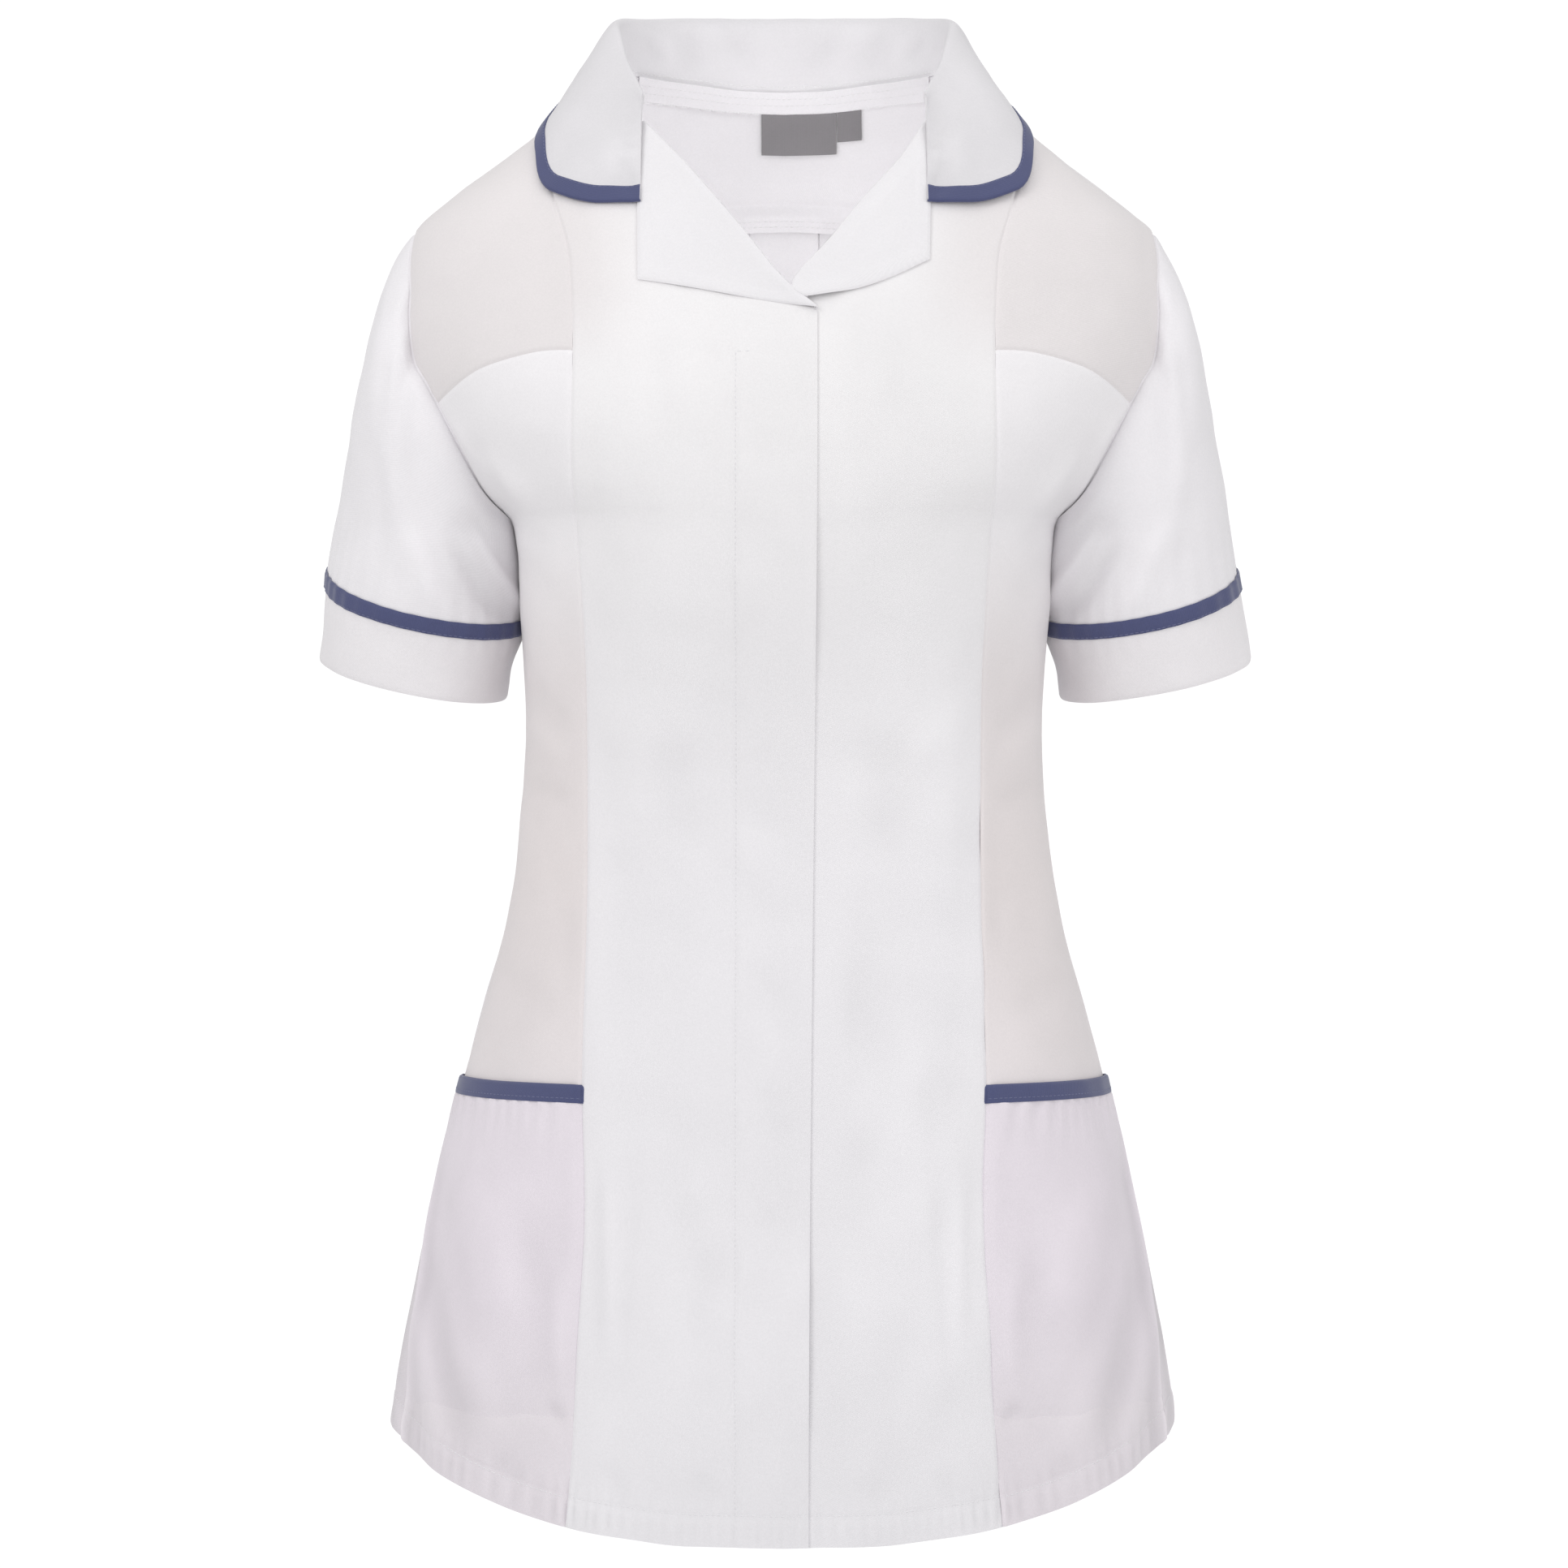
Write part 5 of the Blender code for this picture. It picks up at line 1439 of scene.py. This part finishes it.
def back_places(patch, down):
    """Angles and heights of the back row by row, and the layer on which each place lies."""
    half = shares(0.205, 0.0034, SEAM_STEPS)
    middle = patch.points(np.array([0.45, 0.5]), down)
    wide = np.linalg.norm(np.diff(middle, axis=1), axis=2)[:, 0] / 0.05
    path = pleat_path()
    places = []
    for v, width in zip(down, wide):
        plain = list(half * (0.5 - (PLEAT_HALF + 0.0022) / width))
        pleat = [0.5 + across / width for across, _ in path]
        line = plain + pleat + [1 - share for share in reversed(plain)]
        places.append(patch.at(np.array(line), np.array([v]))[0])
    flat = [0.0] * len(half)
    layers = flat + [depth for _, depth in path] + flat
    return np.array(places), np.tile(layers, (len(down), 1))


def back():
    """The back, in one piece with the pleat that is folded in behind its middle."""
    side_hem = meet_hem(side_angle)
    lower = [seam_line(ARMHOLE_BACK[YOKE_END - 1:], 1, True), side_line(1, UNDERARM, side_hem)]
    left = Edge(*lower).paced(PACE_BACK_ARMHOLE, PACE_BODY)
    right = Edge(*[other_side(line) for line in lower]).paced(PACE_BACK_ARMHOLE, PACE_BODY)
    bottom = Edge(hem_line(left.places[-1][0], 360 - left.places[-1][0]))
    patch = Patch(left, right, Edge(yoke_seam()), bottom, 8.0, 2.0)
    places, layers = back_places(patch, shares(0.68, 0.0031, SEAM_STEPS, HEM_STEPS))
    points = body(places[..., 0], places[..., 1])
    across = abs(points[..., 0])
    height = points[..., 2]
    cloth = Cloth(points)
    cloth.normals = facing(places[..., 0], places[..., 1])
    cloth.seams(True, True, True)
    seams = cloth.out
    cloth.out = np.zeros_like(seams)
    cloth.creases(flat_places(points), BACK_CREASES)
    cloth.uneven(0.085, 0.0026, 61, 0.6)
    cloth.uneven(0.030, 0.0007, 62, 0.7)
    sides = cloth.sides()
    edge = ease(np.minimum(cloth.top, sides) / 0.012)
    calm = (0.4 + 0.6 * ease((across - PLEAT_HALF) / 0.03)) * edge
    cloth.out = cloth.out * calm + seams
    cloth.tone = cloth.tone * calm
    low = ease((SEAM_SHOWS - height) / 0.04)
    hip = low * (1 - 0.8 * ease((-0.665 - height) / 0.04))
    cloth.out += 0.0010 * bell(sides - HIP_SWELL, 0.018) * hip
    hollow_shade = sum(share * bell(height - middle, half) for middle, half, share in HIP_HOLLOW_SHADES)
    # Painted shade near the side seams, and painted shadows of hollow places that are not modelled
    cloth.accent -= 0.10 * bell(sides - 0.014, 0.012) * low
    cloth.accent -= 0.20 * hollow_shade * bell(sides - HIP_SWELL, 0.012) * low
    # The weave runs straight across the folded pleat
    cloth.left = points[..., 0] + 0.3
    cloth.hem(0.2 + 0.5 * ease((across - 0.12) / 0.05))
    pressed = 0.45 + 0.55 * ease(cloth.top / 0.03)
    cloth.out -= layers * PLEAT_LAYER * pressed + CLOTH / 2
    folded = across[0] < PLEAT_HALF + 0.0015
    cloth.allowance("top", np.where(folded, 0.12, 1.0), 0.3)
    shell("back", cloth, BACK_CLOTH, offset=0.0)
    return cloth


def armhole():
    """The armhole of the left side: round its front, then back up behind."""
    front = Edge(seam_line(ARMHOLE_FRONT[:BUST_END], 1), seam_line(ARMHOLE_FRONT[BUST_END - 1:], 1))
    behind = Edge(seam_line(ARMHOLE_BACK, 1, True))
    return front, behind


def armhole_spots(share, loops):
    """Angles and heights on the armhole, at shares round it from the shoulder's tip."""
    front, behind = loops
    ahead = front.by_length(np.clip(share * 2, 0, 1))
    back_up = behind.by_length(np.clip(2 - share * 2, 0, 1))
    return np.where(share[:, None] <= 0.5, ahead, back_up)


def ring_point(ring, turn):
    middle, outer, forward = (np.array(part) for part in ring)
    return middle + outer * np.cos(turn)[..., None] + forward * np.sin(turn)[..., None]


def bend(start, end, leaving, arriving, t):
    """A place on a curve between two points with the given directions at its ends."""
    return (
        start * ((1 + 2 * t) * (1 - t) ** 2)
        + leaving * (t * (1 - t) ** 2)
        + end * (t * t * (3 - 2 * t))
        + arriving * (t * t * (t - 1))
    )


def sleeve_points(share, along, loops):
    """Points of the left sleeve: shares round from the shoulder, places along to the cuff's hem."""
    spots = armhole_spots(share, loops)
    seam = body(spots[:, 0], spots[:, 1])[None]
    turn = 2 * np.pi * share
    top = ring_point(CUFF_TOP, turn)[None]
    hem = ring_point(CUFF_HEM, turn)[None]
    cosine = np.cos(turn)
    sine = np.sin(turn)
    across = 0.275 + 0.475 * cosine
    ahead = -0.35 * sine
    start = np.stack([across, ahead, -np.sqrt(1 - across ** 2 - ahead ** 2)], -1)[None]
    reach = np.linalg.norm(top - seam, axis=-1, keepdims=True)
    start = start * reach * (0.80 - 0.33 * (0.5 + 0.5 * cosine))[None, :, None]
    finish = unit(hem - top) * reach * 0.9
    away = unit(np.stack([0.8 + 0 * sine, -0.15 * sine, -0.3 + 0 * sine], -1))[None] * SEAM_GAP
    t = np.minimum(along, 1.0)[:, None, None]
    past = np.maximum(along - 1.0, 0.0)[:, None, None]
    return bend(seam + away, top, start, finish, t) + (hem - top) * past


def sleeve_tuck(around, loops):
    """The sleeve's seam allowance, which lies under the panels round the armhole."""
    spots = armhole_spots(around, loops)
    seam = body(spots[:, 0], spots[:, 1])
    normal = facing(spots[:, 0], spots[:, 1])
    inward = unit(np.cross(np.roll(seam, -1, 0) - np.roll(seam, 1, 0), normal))
    inward *= np.sign((inward * (seam.mean(0) - seam)).sum(-1, keepdims=True))
    lines = [seam - inward * reach - normal * (depth + 0.0001) for reach, depth in ALLOWANCE]
    return np.stack(lines[::-1])


def shape_sleeve(cloth, side, share, along):
    """Creases, soft inner edge and puckers, at shares round and along a sleeve and its cuff."""
    around, down = np.broadcast_arrays(share[None, :], along[:, None])
    size = np.array([SLEEVE_ROUND, SLEEVE_REACH])
    near = np.stack([around, down], -1) * size
    rows = [(*np.tile(size, 2) * row[:4], *row[4:]) for row in SLEEVE_CREASES]
    cloth.creases(near, rows)
    cloth.out *= 1 - 0.5 * ease((down - 0.85) / 0.3)
    cloth.uneven(0.060, 0.0024, 71 + side)
    cloth.uneven(0.018, 0.0005, 74 + side)
    cloth.out *= ease(down / 0.12)
    middle, half, depth = INNER_BULGE
    inner = bell(around - middle, half) * ease((down + 0.005) / 0.07)
    cloth.out += depth * inner * (1 - ease((down - 1.15) / 0.6))
    pucker = ripple(near[..., 0], 0.0115, 2.0, 47.0, side)
    gap = (down - 1.0) * CUFF_LENGTH
    cloth.out += 0.00034 * pucker * bell(gap - TRIM_WIDTH / 2, 0.013)


def sleeve_parts():
    """Set-in short sleeves with turned cuffs, and a blue trim over each join."""
    loops = armhole()
    around = np.arange(170) / 170
    join = 1 + CUFF_SEAM
    upper = np.concatenate([shares(SLEEVE_REACH, 0.0029, SEAM_STEPS)[:-1], np.linspace(1.0, join, 5)])
    lower = join + (2 - join) * shares(0.041, 0.0024, SEAM_STEPS, (0.0, 0.0004, 0.0012))
    band = np.linspace(1.0 - 0.0003 / CUFF_LENGTH, 1.0 + TRIM_WIDTH / CUFF_LENGTH, 9)
    tuck = sleeve_tuck(around, loops)
    for side, name in SIDES:
        for kind, along in (("sleeve", upper), ("cuff", lower), ("cuff_trim", band)):
            points = sleeve_points(around, along, loops)
            cloth = Cloth(points[:, ::-1] if side > 0 else points * MIRROR, closed=True)
            shape_sleeve(cloth, side, around[::-1] if side > 0 else around, along)
            if kind == "sleeve":
                cloth.out -= SEAM_DIP * bell(cloth.top, SEAM_ROLL)
                cloth.extend(tuck[:, ::-1] if side > 0 else tuck * MIRROR, 0, False)
                shell("sleeve_" + name, cloth, SLEEVE_CLOTH)
            elif kind == "cuff":
                cloth.out -= 0.0004 * bell(cloth.bottom, 0.0008)
                shell("cuff_" + name, cloth, CUFF_CLOTH, FOLDED_CLOTH)
            else:
                cloth.out += 0.0013 - 0.0006 * (bell(cloth.top, 0.0008) + bell(cloth.bottom, 0.0008))
                shell("cuff_trim_" + name, cloth, TRIM_CLOTH, TRIM_WALL)
                row = cloth.surface()[-2]
                row = np.concatenate([row, row[:1]])
                stitch_rows("cuff_stitches_" + name, [row], "cuff_trim_" + name, TRIM_THREAD)


def collar_profiles(stations):
    """Sections of the collar's left half: stand, fold, fall and outer edge, front to back."""
    indexed = tuple((float(i), *row) for i, row in enumerate(COLLAR))
    place = np.linspace(0, len(COLLAR) - 1, stations)
    neck, across, rear, top, edge_angle, edge_height = (read(indexed, place, k) for k in range(1, 7))
    low = read(NECK, neck)
    out = facing(neck, low)
    seam = body(neck, low) - out * PANEL_WALL / 2
    fold = np.stack([across, rear, top], -1)
    edge = moved(edge_angle, edge_height, np.full(stations, COLLAR_EDGE_LIFT))
    away = unit(out * np.array([1.0, 1.0, 0.0]))
    start = seam + unit(fold - seam) * SEAM_GAP * 2
    rise = fold - start
    tall = np.linalg.norm(rise, axis=1, keepdims=True)
    over = away * COLLAR_ROLL * np.minimum(tall / 0.042, 1.0)
    points = [bend(start, fold, rise, over, t) for t in np.linspace(0, 1, 15)[:-1]]
    for t in np.linspace(0, 1, 27):
        spot = bend(fold, edge, over, edge - fold, t)
        turn = np.degrees(np.arctan2(spot[:, 0], -spot[:, 1]))
        way = facing(turn, spot[:, 2])
        gap = ((spot - body(turn, spot[:, 2])) * way).sum(1)
        points.append(spot + way * np.maximum(COLLAR_EDGE_LIFT - gap, 0.0)[:, None])
    return np.stack(points, 1)


def collar_binding(cloth):
    """The blue strip that wraps the collar's outer edge, from its upper face round to its lower."""
    lines = cloth.surface()[:, ::-1]
    lengths = cloth.right[:, ::-1]
    edge = lines[:, 0]
    run = unit(edge - lines[:, 3])
    out = unit(np.cross(run, unit(np.gradient(edge, axis=0))))
    out = np.where((out[:, 2:3] < 0), -out, out)
    thick = COLLAR_WALL / 2 + TRIM_WALL + 0.0002
    section = []
    for depth in np.linspace(TRIM_WIDTH, 0.0, 9):
        spots = [[np.interp(depth, far, line[:, k]) for k in range(3)] for far, line in zip(lengths, lines)]
        drop = 0.0004 * bell(TRIM_WIDTH - depth, 0.0007)
        section.append(np.array(spots) + out * (thick - drop))
    for turn in np.linspace(0, math.pi, 7)[1:]:
        section.append(edge + out * thick * math.cos(turn) + run * thick * math.sin(turn))
    for depth in np.linspace(0.002, TRIM_WIDTH * 0.8, 4):
        section.append(edge - run * depth - out * thick)
    return Cloth(np.stack(section, 1))


def collar():
    """The turned collar, and the blue binding that wraps its outer edge."""
    half = collar_profiles(76)
    grid = np.concatenate([half * MIRROR, half[-2::-1]])
    cloth = Cloth(grid)
    fall = ease((cloth.left - 0.045) / 0.02)
    from_end = np.minimum(cloth.top, cloth.bottom)
    ends = ease(from_end / 0.004)
    place = np.stack([abs(grid[..., 0]), cloth.left], -1)
    cloth.creases(place, COLLAR_CREASES, ends)
    cloth.uneven(0.040, 0.0016, 81, share=ends * (0.4 + 0.6 * fall))
    cloth.uneven(0.014, 0.0004, 84, share=ends)
    gathers = ripple(cloth.right, 0.0085, 1.3, 120.0)
    gathers = gathers * bell(from_end - 0.007, 0.0075) * bell(cloth.right - 0.030, 0.016)
    cloth.out += 0.00045 * gathers
    cloth.out -= 0.0003 * bell(cloth.right - TRIM_WIDTH - 0.001, 0.0015)
    # The gathers are painted lighter on their crests and darker in their troughs, and a painted shade line
    # runs near the neck seam
    cloth.tone += 0.0006 * gathers
    cloth.tone -= 0.0006 * bell(cloth.left - 0.003, 0.0013)
    shell("collar", cloth, COLLAR_CLOTH, COLLAR_WALL, 0.0)
    trim = collar_binding(cloth)
    shell("collar_trim", trim, TRIM_CLOTH, TRIM_WALL)
    stitch_rows("collar_stitches", [trim.surface()[:, 1]], "collar_trim", TRIM_THREAD)
    stand = cloth.surface()[:, 1]
    stand = stand[stand[:, 1] > -0.012]
    stitch_rows("stand_stitches", [stand], "collar", THREAD, lift=COLLAR_WALL / 2)


def lapel(side, name, roll, out_edge, low_edge):
    """The top of a front, turned back along its roll line."""
    inner = Edge(roll_line(roll))
    outer = Edge(roll_line(out_edge))
    low = Edge(roll_line(low_edge))
    ends = (0.0, 0.0005, 0.0012, 0.0024)
    v = shares(0.13, 0.0022, (0.0, 0.0006, 0.0014), ends)
    u = shares(0.07, 0.0020, (), ends)
    start = inner.at(0.03 + 0.97 * v)[:, None]
    end = outer.at(0.10 + 0.90 * v)[:, None]
    place = start + (end - start) * u[None, :, None]
    flat = inner.at(1.0) + (outer.at(1.0) - inner.at(1.0)) * u[:, None]
    place = place + (low.at(1 - u) - flat)[None] * (v ** 1.5)[:, None, None]
    points = body(place[..., 0], place[..., 1])
    normals = facing(place[..., 0], place[..., 1])
    width = np.linalg.norm(np.diff(points, axis=1), axis=2)
    from_roll = np.concatenate([np.zeros((len(v), 1)), np.cumsum(width, 1)], 1)
    radius = 0.0012
    sunk = 0.0002
    lift = 2 * radius - 0.0009 * ease(from_roll / 0.030) - sunk
    top = points + normals * lift[..., None]
    beyond = unit(points[:, 0] - points[:, 4])
    arc = []
    for turn in np.linspace(-math.pi / 2, math.pi / 2, 7)[:-1]:
        rise = radius + radius * math.sin(turn)
        arc.append(points[:, 0] + beyond * radius * math.cos(turn) + normals[:, 0] * (rise - sunk))
    grid = np.concatenate([np.stack(arc, 1), top], 1)
    if side < 0:
        grid = grid[:, ::-1]
    cloth = Cloth(grid)
    edges = np.minimum(cloth.bottom, cloth.left if side < 0 else cloth.right)
    roll_side = cloth.right if side < 0 else cloth.left
    cloth.out -= 0.0006 * bell(edges, 0.0009)
    free = ease((roll_side - 0.008) / 0.02) * ease(edges / 0.006)
    with_front = ease((roll_side - 0.004) / 0.012)
    if side > 0:
        with_front = with_front * ease((grid[..., 0] - 0.021) / 0.02)
    cloth.uneven(*FRONT_WAVES[side], with_front)
    cloth.uneven(0.035, 0.0005, 91 + side, share=free)
    cloth.out += 0.0004 * (1 - ease((edges - 0.007) / 0.002))
    shell("lapel_" + name, cloth, LAPEL_CLOTH, FOLDED_CLOTH)


def below_neck(across, drop):
    """Angles and heights inside the back of the neck, that far across and below its seam."""
    turn = angle_at(across, NECK[-1][1] - drop, True)
    return turn, read(NECK, abs(turn)) - drop


def inside_piece(name, across, drop, material, step, lift, wave=0.0):
    """A piece that lies flat inside the back of the neck."""
    x = np.linspace(across[1], across[0], max(3, int((across[1] - across[0]) / step)))
    down = np.linspace(drop[0], drop[1], max(3, int((drop[1] - drop[0]) / step)))
    x, down = np.meshgrid(x, down)
    turn, height = below_neck(x, down)
    height = height + wave * np.sin(x * 900.0) * (down - drop[0]) / (drop[1] - drop[0])
    cloth = Cloth(moved(turn, height, np.full(x.shape, -lift)))
    cloth.uneven(0.02, 0.0005, 95)
    shell(name, cloth, material, TRIM_WALL)


def neck_inside():
    """Neck tape with its two stitch rows and overlocked edge, blank label, blank size tab."""
    deep = CLOTH + 0.0007
    strip = (-STRIP_HALF, STRIP_HALF)
    inside_piece("neck_strip", strip, (-0.0012, 0.0104), WHITE_CLOTH, 0.0011, deep, wave=0.0004)
    for name, across, drop, lift in (
        ("label", (-0.0125, 0.0292), (0.0100, 0.0310), 0.0004),
        ("size_tab", (0.0297, 0.0436), (0.0100, 0.0248), 0.0003),
    ):
        inside_piece(name, across, drop, LABEL_CLOTH, 0.0012, deep + lift)
    x = np.linspace(STRIP_HALF - 0.001, 0.001 - STRIP_HALF, 90)
    under = np.full(90, -deep - TRIM_WALL)
    rows = [moved(*below_neck(x, drop), under) for drop in (0.0022, 0.0056, 0.0098)]
    stitch_rows("neck_strip_stitches", rows[:2], "neck_strip", THREAD, inside=True, lift=TRIM_WALL)
    for name, slant, size in (("overlock_down", 1.1, 0.55), ("overlock_up", -0.9, 0.7)):
        stitch_rows(name, rows[2:], "neck_strip", THREAD, slant, size, True, TRIM_WALL)


def topstitching(right, left, yoke_cloth, back_cloth):
    """The rows of white stitches that show outside."""
    rows = []
    for top, bottom, count in FLY_STRETCHES:
        heights = np.linspace(top, bottom, count)
        rows.append(body(angle_at(np.full(count, FLY_X), heights), heights))
    bar = np.linspace(FLY_X - 0.0002, FLY_X + 0.0082, 8)
    rows.append(body(angle_at(bar, np.full(8, FLY_TOP)), np.full(8, FLY_TOP)))
    stitch_rows("fly_stitches", rows, "front_right", THREAD)
    for name, cloth in (("front_right", right), ("front_left", left)):
        hem_row = int(np.argmin(abs(cloth.bottom[:, 10] - HEM_DEPTH)))
        stitch_rows("hem_stitches_" + name, [cloth.surface()[hem_row]], name, THREAD)
    rows = [int(np.argmin(abs(yoke_cloth.bottom[:, 60] - distance))) for distance in (0.0018, 0.0075)]
    stitch_rows("yoke_stitches", [yoke_cloth.surface()[row] for row in rows], "yoke", THREAD)
    hem_row = int(np.argmin(abs(back_cloth.bottom[:, 20] - HEM_DEPTH)))
    line = back_cloth.surface()[hem_row]
    half = (len(line) - len(pleat_path())) // 2
    stitch_rows("hem_stitches_back", [line[:half + 8], line[-half - 8:]], "back", THREAD, lift=CLOTH / 2)


def yoke_allowance():
    """The overlocked seam allowance that shows inside, below the back yoke."""
    half = 0.0070
    x, drop = np.meshgrid(np.linspace(0.15, -0.15, 120), np.linspace(-half, half, 15))
    height = yoke_seam_height(x) - drop
    over = 1 - ease((abs(x) - PLEAT_HALF - 0.001) / 0.012)
    deep = CLOTH + 0.0015 + 1.1 * PLEAT_LAYER * over
    lift = -0.0003 + deep * ease((drop + half) / 0.0068)
    cloth = Cloth(moved(angle_at(x, height, True), height, -lift))
    shell("yoke_allowance", cloth, WHITE_CLOTH, TRIM_WALL, solid=False)
    surface = cloth.surface()
    rows = [surface[8], surface[11]]
    stitch_rows("allowance_stitches", rows, "yoke_allowance", THREAD, inside=True, lift=TRIM_WALL)


def hem_stitches_sides():
    """The row of stitches along the hem of each side front."""
    hem = princess_hem(-1)
    for side, name in SIDES:
        seams = (side * float(side_angle(HEM_SIDE)), float(angle_at(side * read(PRINCESS, hem), hem)))
        turn = np.linspace(min(seams) + 0.5, max(seams) - 0.5, 60)
        line = body(turn, hem_height(turn) + HEM_DEPTH * 0.97)
        stitch_rows("hem_stitches_side_" + name, [line], "side_" + name, THREAD)


def camera():
    """Level with the middle of the garment, straight in front, as in the photograph."""
    distance = 2.6
    height = -0.355
    photo_pixels = 1932
    focal_pixels = 5980
    data = bpy.data.cameras.new("camera")
    data.sensor_width = 36.0
    data.lens = data.sensor_width * focal_pixels / photo_pixels
    made = bpy.data.objects.new("camera", data)
    made.location = (0.0, -distance, height)
    made.rotation_euler = (math.radians(90), 0.0, 0.0)
    bpy.context.scene.collection.objects.link(made)
    bpy.context.scene.camera = made


def area_light(name, place, size, power, aim=(0.0, 0.0, -0.35)):
    """A soft rectangular light that faces a point."""
    data = bpy.data.lights.new(name, "AREA")
    data.shape = "RECTANGLE"
    data.size, data.size_y = size
    data.energy = power
    made = bpy.data.objects.new(name, data)
    made.location = place
    made.rotation_euler = (Vector(place) - Vector(aim)).to_track_quat("Z", "Y").to_euler()
    bpy.context.scene.collection.objects.link(made)
    return made


def plain_material(name, colour, glow=0.0):
    material = bpy.data.materials.new(name)
    nodes = Nodes(material)
    nodes.shader.inputs["Base Color"].default_value = (*colour, 1.0)
    nodes.shader.inputs["Roughness"].default_value = 0.9
    if glow:
        nodes.shader.inputs["Emission Color"].default_value = (1.0, 1.0, 1.0, 1.0)
        nodes.shader.inputs["Emission Strength"].default_value = glow
    return material


def studio():
    """Pale floor, white card behind, and large soft lights."""
    bpy.ops.mesh.primitive_circle_add(vertices=96, radius=3.3, fill_type="NGON", location=(0, 0, -1.38))
    floor = bpy.context.object
    floor.name = "floor"
    floor.data.materials.append(plain_material("pale floor", PALE_FLOOR))
    bpy.ops.mesh.primitive_plane_add(size=3.2, location=(0, 4.6, -0.35), rotation=(math.radians(90), 0, 0))
    card = bpy.context.object
    card.name = "white_card"
    card.data.materials.append(plain_material("white card", (0.0, 0.0, 0.0), 1.05))
    world = bpy.data.worlds.new("studio")
    bpy.context.scene.world = world
    world.use_nodes = True
    world.node_tree.nodes["Background"].inputs["Color"].default_value = (1.0, 1.0, 1.0, 1.0)
    world.node_tree.nodes["Background"].inputs["Strength"].default_value = 0.66
    area_light("key", (-2.4, -2.5, 1.3), (1.4, 1.8), 32.0)
    area_light("fill", (2.5, -2.5, 0.5), (1.8, 2.0), 23.0)
    area_light("top", (0.0, -0.9, 2.2), (2.4, 1.6), 13.0)
    inside = area_light("inside", (0.0, -0.055, -0.120), (0.12, 0.04), 0.155, aim=(0.0, 0.075, -0.025))
    inside.visible_camera = False
    bpy.context.scene.view_settings.view_transform = "Standard"
    bpy.context.scene.view_settings.look = "None"


camera()
studio()
over = front_right()
under = front_left()
shoulder_panels()
side_panels()
pockets()
yoke_cloth = yoke()
back_cloth = back()
sleeve_parts()
collar()
lapel(-1, "right", ROLL_RIGHT, LAPEL_RIGHT_OUT, LAPEL_RIGHT_LOW)
lapel(1, "left", ROLL_LEFT[:-1] + LAPEL_LEFT_LOW[-1:], LAPEL_LEFT_OUT, LAPEL_LEFT_LOW)
neck_inside()
yoke_allowance()
topstitching(over, under, yoke_cloth, back_cloth)
hem_stitches_sides()
